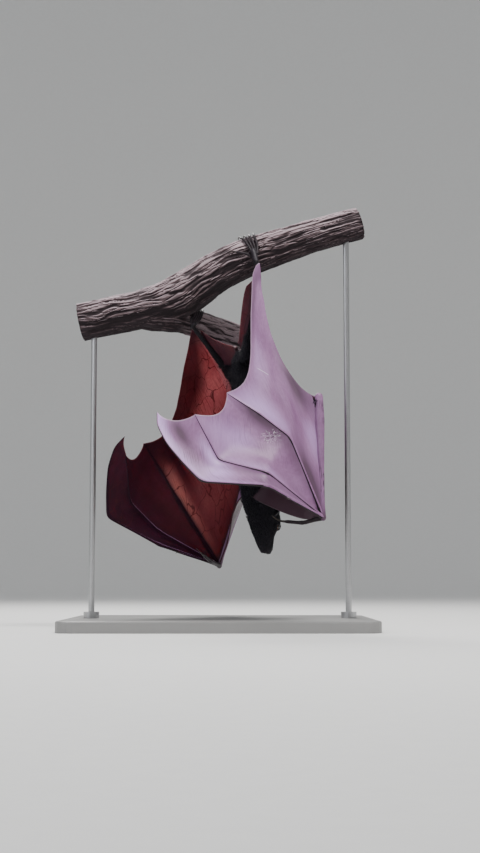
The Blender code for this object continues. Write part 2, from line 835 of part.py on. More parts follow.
def build_wing(side, flesh_tools, leg_tools, neck_tools):
    j = wing_joints(side)
    arm_path = [j["shoulder"], lerp(j["shoulder"], j["elbow"], 0.5), j["elbow"]]
    arm_radii = [(0.0, 0.0135), (0.5, 0.0100), (1.0, 0.0068)]
    fore_path = [lerp(j["elbow"], j["wrist"], k / 6) for k in range(7)]
    fore_radii = [(0.0, 0.0068), (0.2, 0.0082), (0.6, 0.0050), (0.9, 0.0040), (1.0, 0.0052)]

    upper = tube(f"upper_arm_{side}", arm_path, arm_radii, fur(), 10)
    upper_tool = as_cutter(tube(f"cut_upper_arm_{side}", arm_path, arm_radii, fur(), 10, GAP))
    boolean(upper, flesh_tools)
    fore = tube(f"forearm_{side}", fore_path, fore_radii, bare_skin(), 8)
    fore_tool = as_cutter(tube(f"cut_forearm_{side}", fore_path, fore_radii, bare_skin(), 8, GAP))
    boolean(fore, [upper_tool])

    finger_tools = {}
    cut_by = [fore_tool]
    chains = {}
    for n in (3, 5, 4):
        chains[n] = finger_chain(side, j, n)
        first = {3: 0.0, 4: 0.008, 5: 0.006}[n]
        path = list(chains[n])
        path[0] = path[0] + (path[1] - path[0]).normalized() * first
        finger = tube(f"finger_{n}_{side}", path, FINGER_RADII, bare_skin(), 5)
        finger_tools[n] = as_cutter(tube(f"cut_finger_{n}_{side}", path, FINGER_RADII, bare_skin(), 5, GAP))
        boolean(finger, cut_by)
        cut_by = cut_by + [finger_tools[n]]
    index_path = [lerp(j["wrist"], j["index_tip"], 0.4 + 0.6 * k / 3) for k in range(4)]
    index = tube(f"index_{side}", index_path, INDEX_RADII, bare_skin(), 5)
    index_tool = as_cutter(tube(f"cut_index_{side}", index_path, INDEX_RADII, bare_skin(), 5, GAP))
    boolean(index, cut_by)
    thumb_root = lerp(j["wrist"], j["thumb_mid"], 0.16)
    thumb_path = rounded([thumb_root, j["thumb_mid"], j["thumb_end"], j["claw_tip"]], 10, 0.2)
    thumb_radii = [(0.0, 0.0048), (0.35, 0.0036), (0.65, 0.0032), (0.74, 0.0030), (1.0, 0.0008)]
    thumb = tube(f"thumb_{side}", thumb_path, thumb_radii, bare_skin(), 6)
    thumb_tool = as_cutter(tube(f"cut_thumb_{side}", thumb_path, thumb_radii, bare_skin(), 6, GAP))
    boolean(thumb, [*cut_by, index_tool])
    hand_tools = [fore_tool, *finger_tools.values(), index_tool, thumb_tool]

    index_chain = [lerp(j["wrist"], j["index_tip"], k / 4) for k in range(5)]
    beside = [lerp(j["wrist"], j["knuckle_3"], 0.72 * k / 4) for k in range(5)]
    between = fan(j["wrist"], index_chain, beside, 0.06, 1.0, 0.0)
    between = drawn_in(between, 0.0004, 0.0004)
    boolean(sheet(f"web_2_3_{side}", between, 2, [2.2, 2.8, 3.4, 4], membrane_skin()), hand_tools)
    web34 = drawn_in(fan(j["wrist"], chains[3], chains[4], *WEB[side]["3_4"]), 0.0004, 0.0004)
    boolean(sheet(f"web_3_4_{side}", web34, 4, FAN_ROWS, membrane_skin()), hand_tools)
    web45 = drawn_in(fan(j["wrist"], chains[4], chains[5], *WEB[side]["4_5"]), 0.0004, 0.0004)
    boolean(sheet(f"web_4_5_{side}", web45, 6, FAN_ROWS, membrane_skin()), hand_tools)

    ankle = ANKLE[side]
    fold = rounded([j["elbow"], *FOLD[side], ankle], 24, 0.1)
    trailing = rounded([j["tip_5"], *TRAILING_EDGE[side], ankle], 24, 0.1)
    flank = [j["shoulder"], *FLANK[side], HIP[side], KNEE[side], ankle]
    outer = coons(
        lambda t: at_index(chains[5], 10 * t),
        lambda t: along(fold, t),
        lambda s: lerp(j["wrist"], j["elbow"], s),
        lambda s: along(trailing, s),
    )
    outer = drawn_in(outer, 0.0004, 0.0, 0.002, 0.0)
    inner = drawn_in(inner_sheet(fold, flank), 0.0, 0.002, 0.003, 0.0)
    near = [*flesh_tools, *leg_tools, upper_tool]
    boolean(sheet(f"web_outer_{side}", outer, 6, 10, membrane_skin()), [*near, *hand_tools])
    fold_tool = as_cutter(sheet(f"cut_outer_{side}", outer, 6, 10, membrane_skin(), MEMBRANE + 4 * GAP))
    boolean(sheet(f"web_inner_{side}", inner, 4, 8, membrane_skin()), [*near, fore_tool, fold_tool])

    start = LEADING_START[side]
    leading = rounded([start, *LEADING_EDGE[side], j["wrist"]], 20, 0.15)
    front = coons(
        lambda t: lerp(start, j["shoulder"], t),
        lambda t: lerp(j["wrist"], j["elbow"], t),
        lambda s: along(leading, s),
        lambda s: lerp(j["shoulder"], j["elbow"], s),
    )
    front = drawn_in(front, 0.0, 0.001, 0.0, 0.006)
    boolean(
        sheet(f"web_front_{side}", front, 6, 5, membrane_skin()),
        [*flesh_tools, *neck_tools, upper_tool, *hand_tools],
    )


def inner_sheet(fold, flank):
    """place(s, t) of the sheet from the fold (s 0) to the flank and leg (s 1), up to the ankle."""

    def place(s, t):
        t *= 0.97
        a, b = along(fold, t), along(flank, t)
        clear = min(0.4, 0.0020 / max((b - a).length, 1e-4))
        return lerp(a, b, clear + (1 - clear) * s)

    return place


# (depth of the free edge as a share, skew of that curve, slack) of each finger web.
WEB = {
    "right": {"3_4": (0.075, 1.0, 0.004), "4_5": (0.120, 1.2, 0.008)},
    "left": {"3_4": (0.030, 1.0, 0.004), "4_5": (0.130, 0.9, 0.006)},
}


# ---------------------------------------------------------------- tail membrane
NOTCH = Vector((0.031, -0.020, 0.465))
UROPATAGIUM_EDGE = {
    "right": [Vector((0.050, -0.044, 0.579)), Vector((0.041, -0.042, 0.564)), Vector((0.034, -0.034, 0.515)), NOTCH],
    "left": [Vector((-0.044, 0.025, 0.512)), Vector((-0.025, 0.018, 0.493)), Vector((0.002, 0.004, 0.476)), NOTCH],
}


def build_tail_membrane(side, tools):
    leg = [ANKLE[side], KNEE[side], HIP[side]]
    edge = UROPATAGIUM_EDGE[side]

    def place(s, t):
        t = 0.14 + 0.80 * t
        return lerp(along(leg, t), along(rounded(edge, 12, 0.3), t), s)

    place = drawn_in(place, 0.003, 0.0)
    boolean(sheet(f"tail_web_{side}", place, 3, 8, membrane_skin()), tools)


# ---------------------------------------------------------------- assembly
def main():
    for obj in list(bpy.data.objects):
        bpy.data.objects.remove(obj)
    perch, spur, perch_tool, spur_tool = build_perch()
    build_stand(perch)
    trunk, neck, head, tools = build_body()
    body_tools = [tools["trunk"], tools["neck"]]
    for side in ("right", "left"):
        leg_tools = build_leg(side, tools["trunk"], [perch_tool, spur_tool])
        build_wing(side, [tools["trunk"]], leg_tools, [tools["neck"]])
        build_tail_membrane(side, [tools["trunk"], *leg_tools])


main()
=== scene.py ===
"""Looks of a large flying fox that hangs from a forked branch on a plain display stand.

The one skin is made of the body, which is fused from simple shells, and of the wing sheets, which
swell to meet the bones. The coat is thin locks that follow the lie of the fur. Metres, +Z up.
"""

import math

import bmesh
import bpy
import numpy as np
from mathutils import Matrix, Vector
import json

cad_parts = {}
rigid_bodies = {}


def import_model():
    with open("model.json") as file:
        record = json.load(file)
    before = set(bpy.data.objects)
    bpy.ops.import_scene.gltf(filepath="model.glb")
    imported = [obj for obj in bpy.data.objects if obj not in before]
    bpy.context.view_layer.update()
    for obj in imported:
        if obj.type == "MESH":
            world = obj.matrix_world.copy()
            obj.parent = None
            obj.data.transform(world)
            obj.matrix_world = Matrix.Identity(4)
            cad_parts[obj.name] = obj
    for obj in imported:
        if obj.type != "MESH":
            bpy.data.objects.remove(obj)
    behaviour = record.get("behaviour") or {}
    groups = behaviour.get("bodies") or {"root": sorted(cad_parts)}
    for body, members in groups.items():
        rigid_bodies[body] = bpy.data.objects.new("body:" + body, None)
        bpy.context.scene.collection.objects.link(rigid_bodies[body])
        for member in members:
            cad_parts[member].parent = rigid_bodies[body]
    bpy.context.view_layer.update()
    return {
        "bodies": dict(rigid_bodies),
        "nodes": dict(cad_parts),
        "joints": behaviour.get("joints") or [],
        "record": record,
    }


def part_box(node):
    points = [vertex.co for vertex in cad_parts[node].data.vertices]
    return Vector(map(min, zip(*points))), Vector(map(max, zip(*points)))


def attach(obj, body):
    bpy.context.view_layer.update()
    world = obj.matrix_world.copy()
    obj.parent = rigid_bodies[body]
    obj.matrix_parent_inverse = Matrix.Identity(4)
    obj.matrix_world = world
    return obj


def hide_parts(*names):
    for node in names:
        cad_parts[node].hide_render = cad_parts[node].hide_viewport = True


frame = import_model()

SIDES = ("right", "left")


def vectors(*rows):
    return [Vector(row) for row in rows]


def by_side(right, left):
    return dict(zip(SIDES, (right, left)))


# ---------------------------------------------------------------- driving dimensions
# The bones repeat the CAD model's lengths and directions, so that each piece lies in its solid.
FOREARM = 0.196
# Each wing bone: its length as a share of the forearm's, then its (heading from +X towards +Y, rise
# above level) in degrees in the right wing and in the left one.
WING_BONES = {
    "humerus": (0.69, (-31, 54), (101, 12)),
    "forearm": (1.0, (-74, -85), (164, -71)),
    "metacarpal_3": (0.67, (-136, 20), (-143, 15)),
    "metacarpal_4": (0.66, (-144, 31), (-156, 27)),
    "metacarpal_5": (0.70, (-167, 67), (-154, 55)),
    "first_3": (0.535, (169, 4), (-156, 26)),
    "first_4": (0.42, (161, 15), (-132, 35)),
    "first_5": (0.315, (-175, 37), (-153, 56)),
    "last_3": (0.715, (150, 54), (0, 78)),
    "last_4": (0.42, (170, 62), (-107, 75)),
    "last_5": (0.32, (173, 33), (-128, 44)),
    "index": (0.46, (-131, 17), (-133, 9)),
    "thumb_base": (0.21, (140, -11), (-109, 8)),
    "thumb_end": (0.17, (155, 5), (-115, 20)),
    "thumb_claw": (0.115, (179, 27), (131, 32)),
}
TAIL_BASE, HIPS, WAIST, CHEST = vectors(
    (0.036, -0.022, 0.452), (0.043, -0.020, 0.421), (0.057, -0.020, 0.347), (0.071, -0.020, 0.271)
)
NECK_BASE, NAPE, NOSE = vectors((0.070, -0.020, 0.231), (0.073, -0.020, 0.206), (0.078, -0.022, 0.1235))
SHOULDER = by_side(*vectors((0.092, -0.048, 0.265), (0.083, 0.008, 0.263)))
HIP = by_side(*vectors((0.045, -0.034, 0.432), (0.048, -0.014, 0.406)))
KNEE = by_side(*vectors((0.059, -0.040, 0.520), (0.009, 0.052, 0.441)))
ANKLE = by_side(*vectors((0.060, -0.045, 0.604), (-0.047, 0.008, 0.505)))
# How far finger three bows at most between its last joint and its tip.
TIP_BOW = by_side(*vectors((-0.012, -0.004, -0.007), (-0.016, -0.006, 0.002)))
TRAILING_EDGE = by_side(
    vectors(
        (0.035, -0.113, 0.386), (0.046, -0.108, 0.406), (0.050, -0.101, 0.434), (0.051, -0.086, 0.480),
        (0.051, -0.067, 0.540),
    ),
    vectors(
        (-0.112, 0.073, 0.317), (-0.093, 0.073, 0.333), (-0.080, 0.070, 0.362), (-0.070, 0.061, 0.398),
        (-0.061, 0.044, 0.452),
    ),
)
FOLD = by_side(
    vectors(
        (0.139, -0.086, 0.384), (0.124, -0.081, 0.400), (0.102, -0.074, 0.436), (0.085, -0.066, 0.478),
        (0.072, -0.057, 0.538),
    ),
    vectors((0.044, 0.140, 0.326), (0.020, 0.126, 0.393), (-0.010, 0.090, 0.456)),
)
LEADING_START = by_side(*vectors((0.034, -0.047, 0.219), (0.048, 0.002, 0.236)))
LEADING_EDGE = by_side(
    vectors((0.062, -0.068, 0.207), (0.099, -0.084, 0.1885), (0.122, -0.088, 0.180), (0.140, -0.087, 0.1755)),
    vectors((0.029, 0.036, 0.214), (0.020, 0.072, 0.190), (0.012, 0.118, 0.146)),
)
FLANK = by_side(
    vectors((0.078, -0.052, 0.310), (0.062, -0.050, 0.370)),
    vectors((0.072, 0.010, 0.310), (0.058, 0.010, 0.370)),
)
# (depth of the free edge as a share, skew of that curve, slack) of each finger web.
WEB = by_side(
    {"3_4": (0.075, 1.0, 0.004), "4_5": (0.155, 1.2, 0.008)},
    {"3_4": (0.030, 1.0, 0.004), "4_5": (0.130, 0.9, 0.006)},
)
NOTCH = Vector((0.031, -0.020, 0.465))
TAIL_EDGE = by_side(
    [*vectors((0.050, -0.044, 0.579), (0.041, -0.042, 0.564), (0.034, -0.034, 0.515)), NOTCH],
    [*vectors((-0.044, 0.025, 0.512), (-0.025, 0.018, 0.493), (0.002, 0.004, 0.476)), NOTCH],
)
PERCH_AXIS = vectors(
    (-0.235, 0.004, 0.512), (-0.139, -0.002, 0.531), (-0.083, 0.002, 0.546), (-0.051, 0.002, 0.566),
    (-0.011, 0.000, 0.594), (0.041, 0.000, 0.621), (0.092, 0.002, 0.638), (0.145, 0.000, 0.656),
    (0.197, -0.002, 0.670), (0.235, 0.002, 0.681),
)
PERCH_RADII = [
    (0.00, 0.032), (0.20, 0.032), (0.34, 0.038), (0.44, 0.035), (0.58, 0.033), (0.72, 0.030), (0.86, 0.027),
    (1.00, 0.027),
]
SPUR_AXIS = vectors(
    (-0.078, 0.006, 0.522), (-0.049, 0.034, 0.517), (-0.008, 0.068, 0.510), (0.033, 0.100, 0.501),
    (0.049, 0.112, 0.498),
)
SPUR_RADII = [(0.0, 0.025), (0.35, 0.0225), (1.0, 0.0220)]
# The swelling under the main branch that the side branch grows from.
COLLAR_AXIS = vectors((-0.150, 0.000, 0.524), (-0.115, 0.001, 0.521))
COLLAR_RADII = [(0.0, 0.0205), (0.15, 0.0250), (0.30, 0.0250), (0.545, 0.0225), (1.0, 0.0220)]
# Each toe: places along the branch of its root and its tip, then the turns from the top of the branch.
TOES = by_side(
    [
        (0.048, 0.024, 100, 66), (0.050, 0.043, 76, 2), (0.054, 0.050, 80, -4), (0.058, 0.058, 82, -6),
        (0.063, 0.066, 78, -3),
    ],
    [
        (0.090, 0.190, 98, 44), (0.118, 0.225, 100, 34), (0.146, 0.260, 100, 26), (0.174, 0.295, 98, 20),
        (0.202, 0.325, 94, 18),
    ],
)
# Each station: (share of the length, belly or throat side, back or crown side, half width) of the coat.
TRUNK_STATIONS = [
    (0.00, 0.011, 0.011, 0.013), (0.05, 0.020, 0.018, 0.023), (0.14, 0.027, 0.024, 0.031),
    (0.30, 0.034, 0.029, 0.038), (0.50, 0.040, 0.033, 0.043), (0.70, 0.043, 0.037, 0.046),
    (0.86, 0.043, 0.036, 0.045), (1.00, 0.041, 0.033, 0.038),
]
HEAD_STATIONS = [
    (0.00, 0.038, 0.028, 0.031), (0.12, 0.0350, 0.0275, 0.030), (0.26, 0.0320, 0.0265, 0.029),
    (0.40, 0.0295, 0.0255, 0.0265), (0.50, 0.0270, 0.0230, 0.0245), (0.60, 0.0235, 0.0165, 0.0200),
    (0.70, 0.0205, 0.0128, 0.0160), (0.80, 0.0178, 0.0110, 0.0132), (0.90, 0.0142, 0.0096, 0.0112),
    (0.965, 0.0100, 0.0082, 0.0090), (1.00, 0.0050, 0.0050, 0.0055),
]
# Muscles and ridges on both sides of the face: (share from nape to nose, offset to the throat, offset to the
# side, half length, half depth, half width, tilt in degrees).
FACE_PAIRS = [
    (0.40, 0.0040, 0.0140, 0.0150, 0.0110, 0.0075, 12),
    (0.45, -0.0118, 0.0118, 0.0120, 0.0078, 0.0078, 10),
    (0.40, -0.0145, 0.0095, 0.0120, 0.0075, 0.0080, 4),
    (0.58, -0.0072, 0.0075, 0.0165, 0.0060, 0.0062, 20),
    (0.62, 0.0015, 0.0080, 0.0160, 0.0070, 0.0066, 4),
    (0.86, 0.0020, 0.0052, 0.0090, 0.0058, 0.0046, 0),
    (0.965, -0.0020, 0.0034, 0.0042, 0.0032, 0.0028, 0),
]
FACE_MIDDLE = [
    (0.84, 0.0072, 0.0, 0.0130, 0.0060, 0.0066, 6),
    (0.75, -0.0050, 0.0, 0.0200, 0.0042, 0.0052, 3),
]
# How far the belly faces towards the camera at three places, in degrees.
TRUNK_TURN, NECK_TURN, HEAD_TURN = 26.0, 20.0, 14.0
TAIL_TURN = TRUNK_TURN + 8
EYE_RADIUS = 0.0052
LID_LONG, LID_HIGH = 0.0047, 0.0038
EYE_SOCKET = 0.0076
EAR_HEIGHT, EAR_WIDTH, EAR_ROOT = 0.036, 0.021, 0.014
EAR_THICKNESS, EAR_RIDGE, EAR_RIDGE_SPACING = 0.0010, 0.00025, 0.0032
TOE_RADIUS, TOE_GAP = 0.0019, 0.0006
# Shares of a toe's line where its flesh ends and where its claw ends.
TOE_SHARE, CLAW_SHARE, CLAW_HOOK = 0.74, 1.12, 0.0022
FINGER_STEPS = 100

# How far the skin lies inside the solids: the depth of the coat.
BODY_COAT = 0.0090
HEAD_COAT = [(0.0, 0.0062), (0.3, 0.0048), (0.45, 0.0034), (0.6, 0.0016), (0.8, 0.0008), (1.0, 0.0004)]
THIGH_COAT, SHIN_COAT, ARM_COAT = 0.0045, 0.0016, 0.0030
MEMBRANE = 0.0006
FLESH_VOXEL = 0.0013

# Radii along each limb, as (share of its length, radius).
FINGER_RADII = [
    (0.0, 0.0030), (0.1, 0.0024), (0.3, 0.0025), (0.45, 0.0018), (0.6, 0.0019), (0.8, 0.0012), (1.0, 0.0007),
]
INDEX_RADII = [(0.0, 0.0024), (0.1, 0.0018), (0.7, 0.0016), (1.0, 0.0012)]
THUMB_RADII = [
    (0.0, 0.0050), (0.25, 0.0036), (0.52, 0.0034), (0.56, 0.0037), (0.7, 0.0029), (0.9, 0.0029),
    (1.0, 0.0022),
]
TOE_RADII = [(0.0, 0.0028), (0.25, 0.0022), (0.45, 0.0024), (0.6, 0.0019), (0.8, 0.0021), (1.0, 0.0015)]
FORE_RADII = [(0.0, 0.0066), (0.2, 0.0079), (0.6, 0.0047), (0.9, 0.0037), (1.0, 0.0049)]
ARM_RADII = [(0.0, 0.0135), (0.5, 0.0100), (1.0, 0.0078)]
THIGH_RADII = by_side(
    [(0.0, 0.017), (0.35, 0.015), (0.7, 0.012), (1.0, 0.0105)],
    [(0.0, 0.022), (0.35, 0.021), (0.7, 0.0175), (1.0, 0.0115)],
)
SHIN_RADII = [(0.0, 0.0078), (0.25, 0.0080), (0.6, 0.0056), (1.0, 0.0048)]


# ---------------------------------------------------------------- lines and curves
def reach(start, length, heading, rise):
    """The point a bone of this length gets to in this direction."""
    h, r = math.radians(heading), math.radians(rise)
    return start + length * Vector((math.cos(h) * math.cos(r), math.sin(h) * math.cos(r), math.sin(r)))


def lerp(a, b, t):
    return a + (b - a) * t


def straight(a, b, count=16):
    return [lerp(a, b, k / (count - 1)) for k in range(count)]


def circle(count):
    """The angles of so many even steps round a circle."""
    return [2 * math.pi * k / count for k in range(count)]


def along(points, t):
    """Point at a share t of the length of a chain of straight lines."""
    spans = [(q - p).length for p, q in zip(points, points[1:])]
    left = max(0.0, min(1.0, t)) * sum(spans)
    for p, q, span in zip(points, points[1:], spans):
        if left <= span:
            return lerp(p, q, left / span)
        left -= span
    return points[-1].copy()


def rounded(points, count, corner=0.12):
    """Points read evenly from a chain whose corners are eased over a share of its length."""
    found = []
    for i in range(count):
        t = i / (count - 1)
        ease = min(corner / 2, t, 1 - t)
        near = [along(points, t + ease * k / 3) for k in range(-3, 4)]
        found.append(sum(near, Vector()) / len(near))
    return found


def eased(points, passes):
    """The same chain with its bends softened and its ends kept."""
    for _ in range(passes):
        inner = [(a + b * 2 + c) / 4 for a, b, c in zip(points, points[1:], points[2:])]
        points = [points[0], *inner, points[-1]]
    return points


def at_index(points, i):
    """Point at a fractional place in a list of points."""
    low = max(0, min(int(i), len(points) - 2))
    return lerp(points[low], points[low + 1], i - low)


def read(stations, t, column=1):
    """Value at t of a list of (t, value, ...), joined by straight lines. t may be an array."""
    return np.interp(t, [s[0] for s in stations], [s[column] for s in stations])


def bunched(count, ease):
    """Shares from 0 to 1, closer together near both ends as ease nears 1."""
    t = np.linspace(0, 1, count + 1)
    return t - ease * np.sin(2 * np.pi * t) / (2 * np.pi)


def unit(v):
    """The vectors along the last axis at length 1."""
    return v / np.maximum(np.linalg.norm(v, axis=-1, keepdims=True), 1e-12)


def bell(x, width):
    """1 where x is 0, falling smoothly to 0 a few widths away."""
    return np.exp(-((x / width) ** 2))


# Large odd numbers that scatter the values of neighbouring cells.
SCATTER_X, SCATTER_Y, SCATTER_Z = 374761393, 668265263, 1442695041
SCATTER_SEED, SCATTER_AGAIN = 974634777, 1274126177
LOW_32, LOW_16 = 0xFFFFFFFF, 0xFFFF


def noise(p, seed=0):
    """Smooth random values from -1 to 1 at an array of points, with features about 1 across."""
    p = np.asarray(p, float)
    cell = np.floor(p).astype(np.int64)
    f = p - cell
    f = f * f * (3 - 2 * f)
    total = np.zeros(p.shape[:-1])
    for corner in np.ndindex(2, 2, 2):
        x, y, z = (cell[..., k] + corner[k] for k in range(3))
        n = x * SCATTER_X + y * SCATTER_Y
        n = n + z * SCATTER_Z + seed * SCATTER_SEED
        n = (n ^ (n >> 13)) & LOW_32
        n = (n * SCATTER_AGAIN) & LOW_32
        n = ((n ^ (n >> 16)) & LOW_16) / LOW_16
        wx, wy, wz = (f[..., k] if corner[k] else 1 - f[..., k] for k in range(3))
        total += n * wx * wy * wz
    return total * 2 - 1


def stacked(*parts):
    """Arrays of one shape as the last axis of one array."""
    return np.stack(np.broadcast_arrays(*parts), axis=-1)


# ---------------------------------------------------------------- shells
def ring_frames(path):
    """(centre, side, over) for each point of a path, square to it and turning as little as they can."""
    frames = []
    over = None
    for i, p in enumerate(path):
        ahead = path[min(i + 1, len(path) - 1)] - path[max(i - 1, 0)]
        ahead.normalize()
        if over is None:
            over = ahead.orthogonal()
        over = (over - ahead * over.dot(ahead)).normalized()
        frames.append((p, ahead.cross(over).normalized(), over))
    return frames


def band(rings, sides):
    """Faces of the wall through rings of equally many points."""
    return [
        (r * sides + k, (r + 1) * sides + k, (r + 1) * sides + (k + 1) % sides, r * sides + (k + 1) % sides)
        for r in range(rings - 1)
        for k in range(sides)
    ]


def lofted(rings):
    """(points, faces) of a closed shell through rings of equally many points."""
    sides = len(rings[0])
    points = [tuple(p) for ring in rings for p in ring]
    faces = band(len(rings), sides)
    for ring, order in ((0, 1), (len(rings) - 1, -1)):
        centre = sum((Vector(p) for p in rings[ring]), Vector()) / sides
        points.append(tuple(centre))
        middle = len(points) - 1
        for k in range(sides):
            pair = (ring * sides + k, ring * sides + (k + 1) % sides)[::order]
            faces.append((*pair, middle))
    return points, faces


def tube(path, radii, sides, flatten=1.0):
    """A shell along a path. radii(share) gives the radius, and flatten narrows it one way."""
    rings = []
    for i, (centre, side, over) in enumerate(ring_frames(path)):
        radius = radii(i / (len(path) - 1))
        round_it = [math.cos(a) * side + flatten * math.sin(a) * over for a in circle(sides)]
        rings.append([centre + radius * direction for direction in round_it])
    return lofted(rings)


def tapered(radii, round_end):
    """radii as a function of the share, closing in a round over the last share of the length."""

    def radius(share):
        value = float(read(radii, share))
        if share > 1 - round_end:
            value *= math.sqrt(max(0.02, 1 - (1 - (1 - share) / round_end) ** 2))
        return value

    return radius


def ball(centre, axes, sides=16):
    """An egg-shaped shell; axes are its three half lengths as vectors."""
    rings = []
    for i in range(1, 10):
        a = math.pi * i / 10
        ring = []
        for b in circle(sides):
            round_part = axes[1] * (math.sin(a) * math.cos(b)) + axes[2] * (math.sin(a) * math.sin(b))
            ring.append(centre - axes[0] * math.cos(a) + round_part)
        rings.append(ring)
    return lofted(rings)


def knob(centre, x, y=None, z=None):
    """A ball of radius x, or an egg shape with these half lengths."""
    return ball(centre, vectors((x, 0, 0), (0, y or x, 0), (0, 0, z or x)))


def joined(shells):
    """Several shells as the points and faces of one."""
    points, faces = [], []
    for shell_points, shell_faces in shells:
        start = len(points)
        points += list(shell_points)
        faces += [tuple(start + i for i in face) for face in shell_faces]
    return points, faces


def placed(name, mesh):
    """A mesh as an object of the scene."""
    made = bpy.data.objects.new(name, mesh)
    bpy.context.scene.collection.objects.link(made)
    return made


def mesh_object(name, points, faces, finishes, face_finish=None):
    """A smooth mesh piece with these materials."""
    mesh = bpy.data.meshes.new(name)
    mesh.from_pydata([tuple(p) for p in points], [], faces)
    for finish in finishes:
        mesh.materials.append(finish)
    if face_finish is not None:
        mesh.polygons.foreach_set("material_index", np.asarray(face_finish, np.int32))
    mesh.shade_smooth()
    return placed(name, mesh)


def write_value(mesh, name, values):
    """A value at each point that the materials read by name."""
    kind, field = ("FLOAT_VECTOR", "vector") if np.ndim(values) == 2 else ("FLOAT", "value")
    layer = mesh.attributes.new(name, kind, "POINT")
    layer.data.foreach_set(field, np.ravel(values).astype(np.float32))


def from_mesh(items, name, width=3):
    """A property of a mesh's points or faces as an array with so many numbers for each."""
    values = np.zeros(len(items) * width)
    items.foreach_get(name, values)
    return values.reshape(-1, width)


VALUES = ("bone", "rim", "glow", "shade", "bare", "tone", "scar_x", "scar_y", "cut_x", "cut_y")
FAR_AWAY = 1.0


class Skin:
    """Gathers the shells of the bat's one skin, the finish of each face and the values at each point."""

    def __init__(self):
        self.points, self.faces, self.finish, self.lie = [], [], [], []
        self.count = 0
        self.values = {name: [] for name in VALUES}

    def add(self, shell, finish, lie=None, **values):
        points, faces = shell
        points = np.asarray(points, float)
        self.points.append(points)
        self.faces += [tuple(self.count + i for i in face) for face in faces]
        self.finish += finish if isinstance(finish, list) else [finish] * len(faces)
        self.lie.append(points if lie is None else lie)
        for name in VALUES:
            usual = FAR_AWAY if name[-2:] in ("_x", "_y") else 0.0
            self.values[name].append(np.broadcast_to(values.get(name, usual), len(points)))
        self.count += len(points)

    def made(self, name, finishes):
        piece = mesh_object(name, np.concatenate(self.points), self.faces, finishes, self.finish)
        write_value(piece.data, "lie", np.concatenate(self.lie))
        for value in VALUES:
            write_value(piece.data, value, np.concatenate(self.values[value]))
        return piece


OUTSIDE, INSIDE, HIDE, LIMB = range(4)


def distances(grid):
    """Distance along the surface of each grid point from the four edges: first and last column and row."""
    across = np.linalg.norm(np.diff(grid, axis=0), axis=2)
    across = np.concatenate([np.zeros((1, grid.shape[1])), np.cumsum(across, axis=0)])
    up = np.linalg.norm(np.diff(grid, axis=1), axis=2)
    up = np.concatenate([np.zeros((grid.shape[0], 1)), np.cumsum(up, axis=1)], axis=1)
    return across, across[-1:] - across, up, up[:, -1:] - up


HEM_REACH, RIM_REACH, RELIEF_FADE = 0.0011, 0.0035, 0.005
# Where a membrane meets a bone: its greatest half thickness and the reach of the swelling and of the
# dark line of painted shade along the bone, as shares of the bone's radius.
SWELL_HEIGHT, SWELL_REACH, LINE_REACH = 0.75, 1.15, 1.20


def sheet(skin, grid, out, finish, bones, relief=None, thickness=MEMBRANE, hem=0.0002, marks=None, **values):
    """A thin shell on both sides of a grid of points, swelling to meet the bones along its edges.

    bones are the radii along the first column, last column, first row and last row; None is a free
    edge. out is roughly the way its first finish faces. marks are the columns and rows of the middle of a
    crease star, painted with highlights and shade, and of a healed scratch.
    """
    columns, rows = grid.shape[:2]
    edges = distances(grid)
    half = np.full((columns, rows), thickness / 2)
    bone = np.zeros((columns, rows))
    rim = np.zeros((columns, rows))
    clear = np.full((columns, rows), FAR_AWAY)
    for distance, radius in zip(edges, bones):
        if radius is None:
            half += hem * bell(distance, HEM_REACH)
            rim = np.maximum(rim, np.exp(-distance / RIM_REACH))
            continue
        clear = np.minimum(clear, distance)
        swell = (radius * SWELL_HEIGHT - thickness / 2) * bell(distance, SWELL_REACH * radius)
        half = np.maximum(half, thickness / 2 + swell)
        bone = np.maximum(bone, np.exp(-((distance / (LINE_REACH * radius)) ** 6)))
    normal = unit(np.cross(np.gradient(grid, axis=0), np.gradient(grid, axis=1)))
    turn = 1 if float((normal * np.array(out)).sum()) > 0 else -1
    normal *= turn
    if relief is not None:
        fade = 1 - bell(clear, RELIEF_FADE)
        grid = grid + normal * (relief(edges[0], edges[2]) * fade)[..., None]
    offset = normal * half[..., None]
    points = np.concatenate([(grid + offset).reshape(-1, 3), (grid - offset).reshape(-1, 3)])
    layer = columns * rows

    def index(i, j, under):
        return under * layer + i * rows + j

    faces = []
    for i in range(columns - 1):
        for j in range(rows - 1):
            quad = [(i, j), (i + 1, j), (i + 1, j + 1), (i, j + 1)][::turn]
            faces.append(tuple(index(a, b, 0) for a, b in quad))
            faces.append(tuple(index(a, b, 1) for a, b in reversed(quad)))
    finishes = list(finish) * ((columns - 1) * (rows - 1))
    rim_line = [(i, 0) for i in range(columns - 1)]
    rim_line += [(columns - 1, j) for j in range(rows - 1)]
    rim_line += [(i, rows - 1) for i in range(columns - 1, 0, -1)]
    rim_line += [(0, j) for j in range(rows - 1, 0, -1)]
    for (a, b), (c, d) in zip(rim_line, rim_line[1:] + rim_line[:1]):
        quad = (index(a, b, 0), index(a, b, 1), index(c, d, 1), index(c, d, 0))
        faces.append(quad[::turn])
        finishes.append(finish[0])

    def both(v):
        return np.tile(np.broadcast_to(v, (columns, rows)).ravel(), 2)

    lie = np.stack([both(edges[0]), both(edges[2]), np.repeat([0.0, 0.03], layer)], axis=1)
    for name, (column, row) in (marks or {}).items():
        values[f"{name}_x"] = edges[0] - edges[0][column, row]
        values[f"{name}_y"] = edges[2] - edges[2][column, row]
    given = {name: both(v) for name, v in values.items()}
    skin.add((points, faces), finishes, lie, bone=both(bone), rim=both(rim), **given)


